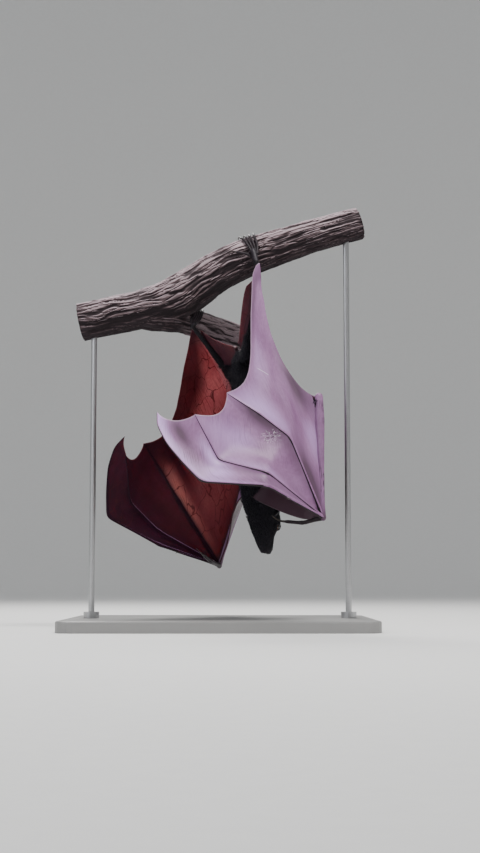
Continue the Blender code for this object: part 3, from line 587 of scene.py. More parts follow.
# ---------------------------------------------------------------- wings
def wing_joints(side):
    """Every joint of one wing, worked out from the bone lengths and their directions."""

    def bone(start, name):
        share, *directions = WING_BONES[name]
        return reach(start, share * FOREARM, *directions[SIDES.index(side)])

    j = {"shoulder": SHOULDER[side]}
    j["elbow"] = bone(j["shoulder"], "humerus")
    j["wrist"] = bone(j["elbow"], "forearm")
    for n in (3, 4, 5):
        j[f"knuckle_{n}"] = bone(j["wrist"], f"metacarpal_{n}")
        j[f"middle_{n}"] = bone(j[f"knuckle_{n}"], f"first_{n}")
        j[f"tip_{n}"] = bone(j[f"middle_{n}"], f"last_{n}")
    j["index_tip"] = bone(j["wrist"], "index")
    j["thumb_mid"] = bone(j["wrist"], "thumb_base")
    j["thumb_end"] = bone(j["thumb_mid"], "thumb_end")
    j["claw_tip"] = bone(j["thumb_end"], "thumb_claw")
    return j


def finger_line(side, j, n):
    """A finger from wrist to tip: the joints are at 0, 0.3, 0.6 and 1 of its points."""
    root, knuckle, middle, tip = j["wrist"], j[f"knuckle_{n}"], j[f"middle_{n}"], j[f"tip_{n}"]
    bow = TIP_BOW[side] if n == 3 else Vector()
    chain = [lerp(root, knuckle, k / 3) for k in range(3)]
    chain += [lerp(knuckle, middle, k / 3) for k in range(3)]
    chain.append(middle)
    for share, amount in ((0.3, 0.6), (0.6, 1.0), (0.85, 0.8), (1.0, 0.0)):
        chain.append(lerp(middle, tip, share) + bow * amount)
    return eased([at_index(chain, 10 * i / FINGER_STEPS) for i in range(FINGER_STEPS + 1)], 8)


def finger_radius(share):
    """Radius of a finger, with knobs at its joints."""
    knobs = sum(math.exp(-(((share - at) / 0.020) ** 2)) for at in (0.0, 0.3, 0.6))
    return float(read(FINGER_RADII, share)) * (1 + 0.30 * knobs)


def fan(toward, inner, outer, depth, skew, slack):
    """place(s, row) of the membrane between two fingers, s across and row out from the wrist."""
    bulge = (inner[-1] - toward).cross(outer[-1] - toward).normalized()
    step = (len(inner) - 1) / 10

    def place(s, row):
        u = row - 10 * depth * math.sin(math.pi * s**skew) ** 0.75 * (row / 10) ** 4
        base = lerp(at_index(inner, u * step), at_index(outer, u * step), s)
        return base + bulge * slack * math.sin(math.pi * s) * math.sin(math.pi * min(1.0, 0.15 + 0.08 * u))

    return place


def coons(side_a, side_c, arm, edge):
    """place(s, t) inside four curves: side_a(t) at s 0, side_c(t) at s 1, arm(s) at t 0, edge(s) at t 1."""
    arm_start, arm_end, edge_start, edge_end = arm(0.0), arm(1.0), edge(0.0), edge(1.0)

    def place(s, t):
        ruled = lerp(side_a(t), side_c(t), s)
        bent = lerp(arm(s), edge(s), t)
        flat = lerp(lerp(arm_start, edge_start, t), lerp(arm_end, edge_end, t), s)
        return ruled + bent - flat

    return place


def grid_of(place, columns, rows):
    return np.array([[place(s, t) for t in rows] for s in columns])


def patches(s, t, marks):
    """Soft patches on a sheet, each (s, t, half width, half height, amount), added up."""
    total = np.zeros(np.broadcast(s, t).shape)
    for s0, t0, wide, high, amount in marks:
        total += amount * np.exp(-(((s - s0) / wide) ** 2) - ((t - t0) / high) ** 2)
    return total


# Painted highlights (paler) and painted shade (darker) on each web, as soft patches:
# (across, out from the wrist, half width, half height, amount).
TIP_WEB_LIGHT_AND_SHADE = [
    (0.00, 0.95, 0.26, 0.24, 1.0), (0.42, 0.88, 0.16, 0.12, -1.2), (0.80, 0.66, 0.16, 0.10, 0.9),
    (0.42, 0.56, 0.30, 0.08, 1.0), (0.04, 0.55, 0.10, 0.30, 0.5), (0.50, 0.20, 0.40, 0.16, -0.45),
    (0.80, 0.42, 0.20, 0.08, -0.4),
]
TIP_WEB_CREASES = [(0.30, 0.42, 0.25, 0.16, 0.9), (0.22, 0.66, 0.14, 0.10, 0.8)]
MIDDLE_WEB_LIGHT_AND_SHADE = [
    (1.00, 0.60, 0.17, 0.22, -1.2), (0.88, 0.28, 0.20, 0.22, -0.55), (0.30, 0.78, 0.30, 0.20, 0.35),
    (0.05, 0.33, 0.10, 0.24, 0.40), (0.47, 0.60, 0.20, 0.12, 0.45), (0.20, 0.12, 0.30, 0.10, -0.4),
]
SIDE_WEB_LIGHT_AND_SHADE = [
    (0.92, 0.22, 0.20, 0.18, -0.95), (0.06, 0.12, 0.16, 0.14, -1.3), (0.06, 0.62, 0.10, 0.30, 0.75),
    (0.60, 0.07, 0.20, 0.08, 0.45), (0.80, 0.93, 0.40, 0.06, -0.7), (0.85, 0.15, 0.14, 0.10, -0.25),
    (0.40, 0.82, 0.20, 0.18, 0.30), (0.35, 0.35, 0.16, 0.20, -0.15),
]
# Columns and rows of the webs' grids at the middle of a star of creases, whose pale lines are painted
# highlights and whose pits are painted shade, and at a healed scratch.
CREASE_STAR = {"scar": (23, 18)}
HEALED_CUT = {"cut": (13, 35)}


# The folds in each membrane: (seed, height, distance between them along it and across it).
FOLDS = {
    "tip": (3, 0.0009, 0.050, 0.014),
    "middle": (4, 0.0013, 0.060, 0.018),
    "side": (6, 0.0014, 0.090, 0.022),
    "front": (8, 0.0008, 0.030, 0.016),
    "tail": (9, 0.0008, 0.03, 0.010),
}


def slack_folds(name):
    """Relief of a loose membrane: low folds that run out along it, and a finer unevenness."""
    seed, height, long_way, short_way = FOLDS[name]

    def relief(across, up):
        broad = noise(stacked(across / short_way, up / long_way, seed * 1.7), seed)
        fine = noise(stacked(across / (short_way * 0.37), up / (long_way * 0.5), seed * 2.3), seed + 5)
        return height * broad + 0.3 * height * fine

    return relief


def side_membrane(side, j, finger):
    """Grid from finger five, over the fold between elbow and ankle, to the flank and the leg."""
    ankle = ANKLE[side]
    upper = [ankle]
    if side == "right":
        upper = [ankle + Vector((-0.0045, -0.006, -0.006)), ankle + Vector((0.0060, -0.006, -0.002))]
    fold = rounded([j["elbow"], *FOLD[side], upper[-1]], 60, 0.1)
    trailing = rounded([j["tip_5"], *TRAILING_EDGE[side], *upper], 60, 0.1)
    flank = rounded([j["shoulder"], *FLANK[side], HIP[side], KNEE[side], ankle], 60, 0.03)
    outer = coons(
        lambda t: at_index(finger, FINGER_STEPS * t),
        lambda t: along(fold, t),
        lambda s: lerp(j["wrist"], j["elbow"], s),
        lambda s: along(trailing, s),
    )

    def place(s, t):
        if s <= 1:
            return outer(s, t)
        t *= 1 - 0.015 * min(1.0, (s - 1) * 4)
        return lerp(along(fold, t), along(flank, t), s - 1)

    columns = np.concatenate([bunched(30, 0.85), 1 + bunched(12, 0.3)[1:]])
    rows = bunched(56, 0.75)
    grid = grid_of(place, columns, rows)
    for _ in range(4):
        grid[24:37] = (grid[23:36] + 2 * grid[24:37] + grid[25:38]) / 4
    return grid, columns, rows


FINGER_SIDES = 10


def add_finger(skin, side, shell):
    """A finger is wing-coloured on its upper side, where light falls on it, and dark on the rest as painted
    shade.
    """
    points = np.array(shell[0])
    rings = points[:-2].reshape(-1, FINGER_SIDES, 3)
    away = unit(rings - rings.mean(axis=1, keepdims=True)).reshape(-1, 3)
    away = np.concatenate([away, np.zeros((2, 3))])
    lit = away @ np.array((0.45, -0.45 if side == "right" else 0.45, 0.77)) > 0.15
    rest = LIMB if side == "right" else INSIDE
    skin.add(shell, [OUTSIDE if lit[list(face)].all() else rest for face in shell[1]])


def light_through(s, t):
    """How much light comes through the side membrane at each place, and how much beside its finger."""
    glow = np.clip(0.32 + (t - 0.30) / 0.34, 0.32, 1) * (1 - np.clip((0.42 - s) / 0.25, 0, 1))
    glow = glow * np.clip(t * 6, 0, 1)
    near_finger = bell(s - 0.055, 0.045) * bell(t - 0.36, 0.21)
    by_wrist = np.exp(-(((s - 0.20) / 0.15) ** 2) - ((t - 0.18) / 0.14) ** 2)
    glow = np.clip(glow + 0.5 * near_finger + 0.22 * by_wrist, 0, 1)
    edge = 0.76 + 0.19 * np.clip((s - 0.75) / 0.2, 0, 1)
    return glow * (0.14 + 0.86 * np.clip((edge - t) / 0.17, 0, 1)), near_finger


SEEN = (0.0, -1.0, 0.0)


def membrane(skin, side, grid, edges, folds=None, finish=None, **values):
    """A wing sheet: on the near side its outer face is seen, and on the far side its inner one."""
    finish = finish or ((OUTSIDE, INSIDE) if side == "right" else (INSIDE, OUTSIDE))
    sheet(skin, grid, SEEN, finish, edges, folds and slack_folds(folds), **values)


def build_wing_skin(skin, side):
    j = wing_joints(side)
    near_side = side == "right"
    line = {n: finger_line(side, j, n) for n in (3, 4, 5)}
    tip = tapered([(0, 1), (1, 1)], 0.02)
    for n in (3, 4, 5):
        add_finger(skin, side, tube(line[n], lambda s: finger_radius(s) * tip(s), FINGER_SIDES))
    if not near_side:
        j["index_tip"] = lerp(j["index_tip"], at_index(line[3], 0.22 * FINGER_STEPS), 0.7)
    index = straight(j["wrist"], j["index_tip"], 21)
    add_finger(skin, side, tube(index, tapered(INDEX_RADII, 0.1), FINGER_SIDES))

    rows = np.concatenate([np.linspace(0.3, 7.5, 34), np.linspace(7.5, 10, 18)[1:]])
    radii = np.array([finger_radius(r / 10) for r in rows])[None, :]
    edges = (radii, radii, None, None)
    columns = bunched(24, 0.85)
    grid = grid_of(fan(j["wrist"], line[3], line[4], *WEB[side]["3_4"]), columns, rows)
    s, t = columns[:, None], rows[None, :] / 10
    # Each web's tone is painted light: a painted highlight where it is above 0 and painted shade where it is
    # below 0.
    creased = patches(s, t, TIP_WEB_CREASES) * near_side
    membrane(skin, side, grid, edges, "tip", tone=patches(s, t, TIP_WEB_LIGHT_AND_SHADE), bare=creased)
    columns = bunched(34, 0.88)
    grid = grid_of(fan(j["wrist"], line[4], line[5], *WEB[side]["4_5"]), columns, rows)
    tone = patches(columns[:, None], t, MIDDLE_WEB_LIGHT_AND_SHADE)
    scar = CREASE_STAR if near_side else None
    membrane(skin, side, grid, edges, "middle", glow=0.02, tone=tone, marks=scar)

    index_line = straight(j["wrist"], j["index_tip"], 41)
    beside = [at_index(line[3], 0.72 * 30 * k / 40) for k in range(41)]
    place = fan(j["wrist"], index_line, beside, 0.06, 1.0, 0.0)
    grid = grid_of(place, bunched(8, 0.5), np.linspace(1.0, 10, 24))
    membrane(skin, side, grid, (0.0017, 0.0025, None, None), shade=0.3)

    grid, columns, rows = side_membrane(side, j, line[5])
    fore, arm = read(FORE_RADII, 1 - columns), read(ARM_RADII, 2 - columns) * ARM_SHARE
    first_row = np.where(columns <= 1, fore, arm)[:, None]
    finger_edge = np.array([finger_radius(t) for t in rows])[None, :]
    leg_edge = read([(0.0, 0.010), (0.5, 0.010), (0.75, 0.006), (1.0, 0.004)], rows)[None, :]
    s, t = columns[:, None], rows[None, :]
    glow, near_finger = light_through(s, t)
    edges = (finger_edge, leg_edge, first_row, None)
    # The band beside finger five of the far wing is painted light; it is carried as bare.
    tone, lit_band = patches(s, t, SIDE_WEB_LIGHT_AND_SHADE), 0.65 * near_finger * (not near_side)
    cut = HEALED_CUT if near_side else None
    membrane(skin, side, grid, edges, "side", glow=glow, tone=tone, bare=lit_band, marks=cut)
    build_front_membrane(skin, side, j)
    build_tail_membrane(skin, side)
    root = lerp(j["wrist"], j["thumb_mid"], 0.02)
    thumb = rounded([root, j["thumb_mid"], j["thumb_end"]], 30, 0.2)
    skin.add(tube(thumb, tapered(THUMB_RADII, 0.06), 12), LIMB, bone=0.6)
    return j


# The share of the upper arm's radius that a membrane swells to along it.
ARM_SHARE = 0.8


def build_front_membrane(skin, side, j):
    """The membrane before the arm; its inner corner is drawn in towards the middle of the neck."""
    start = LEADING_START[side]
    start = lerp(start, Vector((0.0715, -0.020, start.z)), 0.34)
    leading = rounded([start, *LEADING_EDGE[side], j["wrist"]], 40, 0.15)
    place = coons(
        lambda t: lerp(start, j["shoulder"], t),
        lambda t: lerp(j["wrist"], j["elbow"], t),
        lambda s: along(leading, s),
        lambda s: lerp(j["shoulder"], j["elbow"], s),
    )
    columns, rows = bunched(36, 0.5), bunched(24, 0.6)
    arm = (read(ARM_RADII, columns) * ARM_SHARE)[:, None]
    fore = read(FORE_RADII, 1 - rows)[None, :]
    grid, edges = grid_of(place, columns, rows), (0.004, fore, None, arm)
    membrane(skin, side, grid, edges, "front", hem=0.0007, shade=1.0)


def build_tail_membrane(skin, side):
    leg = rounded([ANKLE[side], KNEE[side], HIP[side]], 40, 0.1)
    edge = rounded(TAIL_EDGE[side], 40, 0.3)

    def place(s, t):
        t = 0.14 + 0.80 * t
        return lerp(along(leg, t), along(edge, t), s)

    rows = bunched(40, 0.4)
    radii = read([(0.0, 0.004), (0.4, 0.006), (1.0, 0.010)], rows)[None, :]
    grid = grid_of(place, bunched(16, 0.6), rows)
    finish = (INSIDE, OUTSIDE) if side == "left" else (INSIDE, INSIDE)
    membrane(skin, side, grid, (radii, None, None, 0.004), "tail", finish, glow=0.08)


# ---------------------------------------------------------------- body
def belly_direction(turn):
    """Unit vector out of the belly: towards -X, turned towards -Y by this many degrees."""
    a = math.radians(turn)
    return Vector((-math.cos(a), -math.sin(a), 0.0))


def body_ring(centre, ahead, belly, sizes, sides=40):
    """One ring of the body; sizes are its depths on the belly and the back side and its half width."""
    throat, crown, width = sizes
    belly = (belly - ahead * belly.dot(ahead)).normalized()
    lateral = ahead.cross(belly).normalized()
    ring = []
    for a in circle(sides):
        depth = throat if math.cos(a) > 0 else crown
        ring.append(centre + belly * depth * math.cos(a) + lateral * width * math.sin(a))
    return ring


def sizes_at(stations, share, coat):
    """Depths and half width of the skin at a share of a body part: the coat's tips less its depth."""
    return [max(0.0015, float(read(stations, share, column)) - coat) for column in (1, 2, 3)]


def trunk_shell():
    """The body from the tail base to the nape."""
    line = rounded([TAIL_BASE, HIPS, WAIST, CHEST, NECK_BASE, NAPE], 60, 0.15)
    trunk_share = (NECK_BASE - TAIL_BASE).length / (NAPE - TAIL_BASE).length
    rings = []
    for i, centre in enumerate(line):
        share = i / (len(line) - 1)
        ahead = (line[min(i + 2, len(line) - 1)] - line[max(i - 2, 0)]).normalized()
        coat = BODY_COAT * min(1.0, 0.35 + 4 * share)
        sizes = sizes_at(TRUNK_STATIONS, min(1.0, share / trunk_share), coat)
        rings.append(body_ring(centre, ahead, belly_direction(lerp(TAIL_TURN, HEAD_TURN, share)), sizes))
    return lofted(rings)


def head_frame():
    """(ahead, throat direction, lateral direction towards the near side) of the head."""
    ahead = (NOSE - NAPE).normalized()
    throat = belly_direction(HEAD_TURN)
    throat = (throat - ahead * throat.dot(ahead)).normalized()
    near = ahead.cross(throat).normalized()
    return ahead, throat, -near if near.y > 0 else near


def head_point(share, throat, near):
    """A point of the head: share of its length from the nape, then offsets in metres."""
    _, throat_dir, near_dir = head_frame()
    return lerp(NAPE, NOSE, share) + throat_dir * throat + near_dir * near


def head_ball(share, throat, near, long, deep, wide, tilt):
    """An egg-shaped swelling of the head; tilt turns it in degrees in the plane of the side of the face."""
    ahead, throat_dir, near_dir = head_frame()
    a = math.radians(tilt)
    first = ahead * math.cos(a) + throat_dir * math.sin(a)
    second = throat_dir * math.cos(a) - ahead * math.sin(a)
    return ball(head_point(share, throat, near), (first * long, second * deep, near_dir * wide))


def head_shells():
    """Skull and muzzle, then the muscles and ridges that shape a flying fox's face."""
    ahead, _, _ = head_frame()
    rings = []
    for i in range(50):
        share = i / 49
        sizes = sizes_at(HEAD_STATIONS, share, float(read(HEAD_COAT, share)))
        rings.append(body_ring(lerp(NAPE, NOSE, share), ahead, belly_direction(HEAD_TURN), sizes))
    shells = [lofted(rings)]
    for side in (1, -1):
        shells += [head_ball(share, throat, side * near, *rest) for share, throat, near, *rest in FACE_PAIRS]
    shells += [knob(eye_centre(side) - gaze(side) * 0.0015, EYE_SOCKET) for side in SIDES]
    return shells + [head_ball(*row) for row in FACE_MIDDLE]


def limb(path, radii, coat):
    """The shell of a furred limb, the coat's depth inside its solid."""
    return tube(path, lambda s: max(0.0016, float(read(radii, s)) - coat), 24)


def toe_seat(side, place):
    """(centre, axis, radius) of the branch where a toe of this foot lies."""
    if side == "right":
        axis = (perch_centre(place + 0.01) - perch_centre(place - 0.01)).normalized()
        share = (place - PERCH_AXIS[0].x) / (PERCH_AXIS[-1].x - PERCH_AXIS[0].x)
        return perch_centre(place), axis, float(read(PERCH_RADII, share))
    path = rounded(SPUR_AXIS, 60, 0.2)
    axis = (along(path, min(1.0, place + 0.05)) - along(path, max(0.0, place - 0.05))).normalized()
    return along(path, place), axis, float(read(SPUR_RADII, place))


def perch_centre(x):
    for p, q in zip(PERCH_AXIS, PERCH_AXIS[1:]):
        if x <= q.x:
            return lerp(p, q, (x - p.x) / (q.x - p.x))
    return PERCH_AXIS[-1].copy()


def on_branch(_share):
    return TOE_RADIUS + TOE_GAP


def toe_path(side, toe, count, lift=on_branch, stretch=1.0):
    """A line over a branch from one place along it to another, turning as it goes."""
    root, tip, start, end = toe
    path = []
    for i in range(count):
        share = stretch * i / (count - 1)
        centre, axis, radius = toe_seat(side, lerp(root, tip, share))
        up = (Vector((0, 0, 1)) - axis * axis.z).normalized()
        front = axis.cross(up).normalized()
        if front.y > 0:
            front = -front
        a = math.radians(start + (end - start) * share)
        path.append(centre + (up * math.cos(a) + front * math.sin(a)) * (radius + lift(share)))
    return path


def toe_line(side, toe):
    """A toe from the heel to where its claw starts."""
    path = toe_path(side, toe, 20, stretch=TOE_SHARE)
    heel = lerp(ANKLE[side], path[0], 0.45)
    return eased(straight(heel, path[0], 8)[:-1] + path, 3)


def toe_claw_line(side, toe):
    """A claw from the toe's end, hooked down into the bark."""

    def lift(share):
        t = (share - TOE_SHARE) / (CLAW_SHARE - TOE_SHARE)
        if t < 0:
            return on_branch(share)
        return on_branch(share) * (1 - t) + CLAW_HOOK * math.sin(math.pi * t) - CLAW_HOOK * t * t

    return toe_path(side, toe, 40, lift, CLAW_SHARE)[int(40 * TOE_SHARE / CLAW_SHARE) - 2 :]


def build_feet_skin(skin):
    for side in SIDES:
        for toe in TOES[side]:
            skin.add(tube(toe_line(side, toe), tapered(TOE_RADII, 0.05), 10), LIMB, bone=0.8)


def foot_radius(share):
    return 0.0040 + 0.0010 * math.sin(math.pi * share)


def flesh_shells(joints):
    """Every shell that the body's skin is fused from."""
    shells = [trunk_shell(), *head_shells()]
    for side, j in joints.items():
        hip, knee, ankle = HIP[side], KNEE[side], ANKLE[side]
        root = toe_path(side, TOES[side][2], 2)[0]
        shells += [
            limb(straight(hip, knee), THIGH_RADII[side], THIGH_COAT),
            limb(straight(knee, ankle), SHIN_RADII, SHIN_COAT),
            tube(straight(ankle, lerp(ankle, root, 0.9)), foot_radius, 16),
            knob(knee, 0.0063),
            knob(ankle, 0.0042),
            limb(straight(j["shoulder"], j["elbow"]), ARM_RADII, ARM_COAT),
            limb(straight(j["elbow"], j["wrist"], 30), FORE_RADII, 0.0),
            knob(j["elbow"], 0.0062),
            knob(j["wrist"], 0.0052, 0.0050, 0.0060),
            knob(lerp(j["shoulder"], CHEST, 0.3), 0.018, 0.014, 0.020),
        ]
    return shells


def fused(shells, voxel):
    """One even closed mesh round all these shells."""
    rough = mesh_object("flesh", *joined(shells), [])
    step = rough.modifiers.new("fuse", "REMESH")
    step.mode = "VOXEL"
    step.voxel_size = voxel
    mesh = bpy.data.meshes.new_from_object(rough.evaluated_get(bpy.context.evaluated_depsgraph_get()))
    bpy.data.objects.remove(rough)
    return mesh


def coordinates(mesh):
    return from_mesh(mesh.vertices, "co")


def move_points(mesh, co):
    mesh.vertices.foreach_set("co", co.ravel())
    mesh.update()


PUSH_IN, PUSH_OUT = 0.60, -0.55


def smoothed(mesh, passes, weight=None):
    """Points moved towards the middle of their neighbours, by turns in and out so that nothing shrinks."""
    edges = np.zeros(len(mesh.edges) * 2, np.int64)
    mesh.edges.foreach_get("vertices", edges)
    a, b = edges.reshape(-1, 2).T
    co = coordinates(mesh)
    count = np.bincount(np.concatenate([a, b]), minlength=len(co)).astype(float)
    weight = np.ones(len(co)) if weight is None else weight
    for i in range(passes):
        total = [np.bincount(a, c[b], len(co)) + np.bincount(b, c[a], len(co)) for c in co.T]
        mean = np.stack(total, 1) / count[:, None]
        co = co + (mean - co) * ((PUSH_OUT if i % 2 else PUSH_IN) * weight)[:, None]
    move_points(mesh, co)


def head_coordinates(points):
    """(share of the head's length, throat offset, near-side offset) of an array of points."""
    ahead, throat, near = (np.array(v) for v in head_frame())
    rel = points - np.array(NAPE)
    return rel @ ahead / (NOSE - NAPE).length, rel @ throat, rel @ near


def refine_face(mesh):
    """Finer faces from the eyes to the nose."""
    for low in (0.36, 0.40):
        work = bmesh.new()
        work.from_mesh(mesh)
        share, _, _ = head_coordinates(np.array([v.co for v in work.verts]))
        fine = (share > low) & (share < 1.2)
        chosen = [e for e in work.edges if fine[e.verts[0].index] and fine[e.verts[1].index]]
        bmesh.ops.subdivide_edges(work, edges=chosen, cuts=1, use_grid_fill=True)
        work.to_mesh(mesh)
        work.free()


def eye_centre(side):
    """Middle of an eye's solid."""
    low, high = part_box(f"eye_{side}")
    return (low + high) / 2


def sign_of(side):
    return 1 if side == "right" else -1


def gaze(side):
    """The way an eye looks: out to the side, a little up and forward."""
    ahead, throat, near = head_frame()
    return (near * sign_of(side) * 0.80 - throat * 0.50 + ahead * 0.34).normalized()


MOUTH_DEPTH, LIP_HEIGHT = 0.0011, 0.00035
NOSTRIL = (0.988, -0.0022, 0.0046)
NOSTRIL_DEPTH, NOSTRIL_RIM, NOSE_GROOVE = 0.0026, 0.0007, 0.0009
LID_LIFT, LID_FOLD, EYE_SUNK = 0.0008, 0.0006, 0.86


def carve_face(mesh):
    """Eye openings with their lids, mouth line, nostrils and the groove between them."""
    ahead, _, near_dir = (np.array(v) for v in head_frame())
    co = coordinates(mesh)
    normals = from_mesh(mesh.vertices, "normal")
    share, throat, near = head_coordinates(co)

    lip = 0.0035 + 0.0030 * np.clip((0.80 - share) / 0.25, 0, 1) ** 1.5
    reach_back = 1 / (1 + np.exp(-(share - 0.60) / 0.012)) * (share > 0.3)
    groove = bell(throat - lip, 0.0007) * reach_back
    lips = bell(np.abs(throat - lip) - 0.0014, 0.0009) * reach_back
    co += normals * (LIP_HEIGHT * lips - MOUTH_DEPTH * groove)[:, None]

    for sign in (1, -1):
        nostril = np.array(head_point(*NOSTRIL[:2], sign * NOSTRIL[2]))
        gap = np.linalg.norm(co - nostril, axis=1)
        co += -unit(near_dir * sign + ahead)[None, :] * (NOSTRIL_DEPTH * bell(gap, 0.0012))[:, None]
        co += normals * (NOSTRIL_RIM * bell(gap - 0.0023, 0.0008))[:, None]
    between = bell(near, 0.0007) * np.clip((share - 0.93) / 0.03, 0, 1) * (throat < 0.003)
    co -= normals * (NOSE_GROOVE * between)[:, None]

    for side in SIDES:
        centre, look = np.array(eye_centre(side)), np.array(gaze(side))
        long = unit(ahead - look * (ahead @ look))
        high = np.cross(look, long)
        rel = co - centre
        distance = np.linalg.norm(rel, axis=1)
        out = rel @ look
        q = np.sqrt((rel @ long / LID_LONG) ** 2 + (rel @ high / LID_HIGH) ** 2)
        near_eye = (distance < 0.012) & (out > -0.002)
        cover = EYE_RADIUS + 0.0004 + LID_LIFT * bell(q - 1.12, 0.22)
        fold = LID_FOLD * bell(q - 1.62, 0.12)
        lid = np.maximum(distance, cover * np.exp(-np.clip(q - 1.3, 0, 9) * 0.5)) - fold
        wanted = np.where(near_eye & (q >= 1.0), lid, distance)
        wanted = np.where(near_eye & (q < 1.0) & (out > 0), EYE_RADIUS * EYE_SUNK, wanted)
        co = centre + unit(rel) * wanted[:, None]
    move_points(mesh, co)


def coat_axes(joints):
    """(name, line from the start of the fur's lie to its end, radius) of each furred or bare part."""
    axes = [
        ("head", straight(NOSE, NAPE, 30), 0.020),
        ("neck", straight(NAPE, CHEST, 20), 0.030),
        ("trunk", rounded([CHEST, WAIST, HIPS, TAIL_BASE], 40, 0.15), 0.030),
    ]
    for side, j in joints.items():
        axes += [
            (f"thigh_{side}", straight(lerp(HIP[side], KNEE[side], 0.15), KNEE[side], 20), 0.011),
            (f"shin_{side}", straight(KNEE[side], ANKLE[side], 20), 0.005),
            (f"sole_{side}", straight(ANKLE[side], ANKLE[side] + Vector((0, 0, 0.02)), 10), 0.004),
            (f"arm_{side}", straight(lerp(j["shoulder"], j["elbow"], 0.2), j["elbow"], 20), 0.008),
            (f"forearm_{side}", straight(j["elbow"], j["wrist"], 30), 0.005),
        ]
    return axes


def sorted_into(axes, points):
    """For each point: which axis is nearest, the share along it, the axis direction and place there."""
    best = np.full(len(points), 1e9)
    which = np.zeros(len(points), int)
    share = np.zeros(len(points))
    ahead = np.zeros((len(points), 3))
    foot = np.zeros((len(points), 3))
    for n, (_, line, radius) in enumerate(axes):
        line = np.array([tuple(p) for p in line])
        heading = unit(np.gradient(line, axis=0))
        for k in range(len(line)):
            gap = np.linalg.norm(points - line[k], axis=1) - radius
            closer = gap < best
            best[closer], which[closer] = gap[closer], n
            share[closer], ahead[closer], foot[closer] = k / (len(line) - 1), heading[k], line[k]
    return which, share, ahead, foot


def build_body_skin(skin, joints):
    """The furred body: fused, smoothed most where the neck and the brow join the skull, and carved."""
    mesh = fused(flesh_shells(joints), FLESH_VOXEL)
    smoothed(mesh, 10)
    share = head_coordinates(coordinates(mesh))[0]
    smoothed(mesh, 110, bell(share + 0.05, 0.17))
    smoothed(mesh, 22, bell(share - 0.63, 0.09))
    refine_face(mesh)
    share = head_coordinates(coordinates(mesh))[0]
    smoothed(mesh, 14, (share > 0.33) * np.clip((0.80 - share) / 0.12, 0.4, 1))
    carve_face(mesh)
    co = coordinates(mesh)
    axes = coat_axes(joints)
    which, along_axis, _, _ = sorted_into(axes, co)
    names = np.array([name.split("_")[0] for name, _, _ in axes])[which]
    share = head_coordinates(co)[0]
    bare = np.where(names == "head", np.clip((share - 0.72) / 0.18, 0, 1), 0.0)
    bare = np.where((names == "forearm") | (names == "sole"), 1.0, bare)
    wing_coloured = (names == "forearm") | ((names == "arm") & (along_axis > 0.86))
    finish = [OUTSIDE if wing_coloured[p.vertices[0]] else HIDE for p in mesh.polygons]
    # The forearm is darkened a little by the painted shade of the bone line.
    bone = np.where(names == "forearm", 0.55, 0.0)
    wrist_shade = np.zeros(len(co))
    for j in joints.values():
        gap = np.linalg.norm(co - np.array(j["wrist"]), axis=1)
        wrist_shade = np.maximum(wrist_shade, 0.85 * bell(gap, 0.013))
    faces = [tuple(p.vertices) for p in mesh.polygons]
    skin.add((co, faces), finish, bare=bare, bone=bone, shade=wrist_shade)
    return mesh, axes


def ear_grid(side):
    """The surface of an ear: a tall pointed cup that opens forward and out, rolled in at its base."""
    ahead, throat_dir, near_dir = head_frame()
    sign = sign_of(side)
    root = head_point(0.30, -0.0090, sign * 0.0105)
    out = (near_dir * sign * 0.42 - throat_dir * 0.62 - ahead * 0.66).normalized()
    across = ahead * 0.80 + near_dir * sign * 0.45 - throat_dir * 0.1
    across = (across - out * across.dot(out)).normalized()
    hollow = out.cross(across).normalized() * sign
    if hollow.dot(near_dir * sign) < 0:
        hollow = -hollow

    def place(s, t):
        width = EAR_WIDTH / 2 * (0.66 + 0.70 * t - 1.34 * t**3.6) + 0.0006
        wrap = math.radians(lerp(150, 62, t**0.7))
        radius = width / math.sin(min(wrap, math.pi / 2))
        a = (s * 2 - 1) * wrap
        lean = -0.003 * math.sin(math.pi * t)
        tall = (EAR_HEIGHT + 0.017) * t - EAR_ROOT - 0.002 * (1 - math.cos(a))
        beside = root + out * tall + across * (radius * math.sin(a) + lean)
        return beside - hollow * radius * (math.cos(a) - 1) * 0.8

    return grid_of(place, np.linspace(0, 1, 25), bunched(30, 0.3)), hollow


def ear_ridges(across, up):
    wide = across / np.maximum(across[-1:], 1e-6)
    return EAR_RIDGE * np.sin(up / EAR_RIDGE_SPACING * 2 * np.pi) * bell(wide - 0.7, 0.2)


def build_ears(skin):
    for side in SIDES:
        grid, hollow = ear_grid(side)
        edges = (None, None, 0.002, None)
        sheet(skin, grid, hollow, (HIDE, HIDE), edges, ear_ridges, EAR_THICKNESS, 0.0001, bare=0.5)


# ---------------------------------------------------------------- materials
FLOAT, COLOUR, VECTOR = "NodeSocketFloat", "NodeSocketColor", "NodeSocketVector"
BLACK, WHITE, ORIGIN = (0, 0, 0, 1), (1, 1, 1, 1), (0, 0, 0)


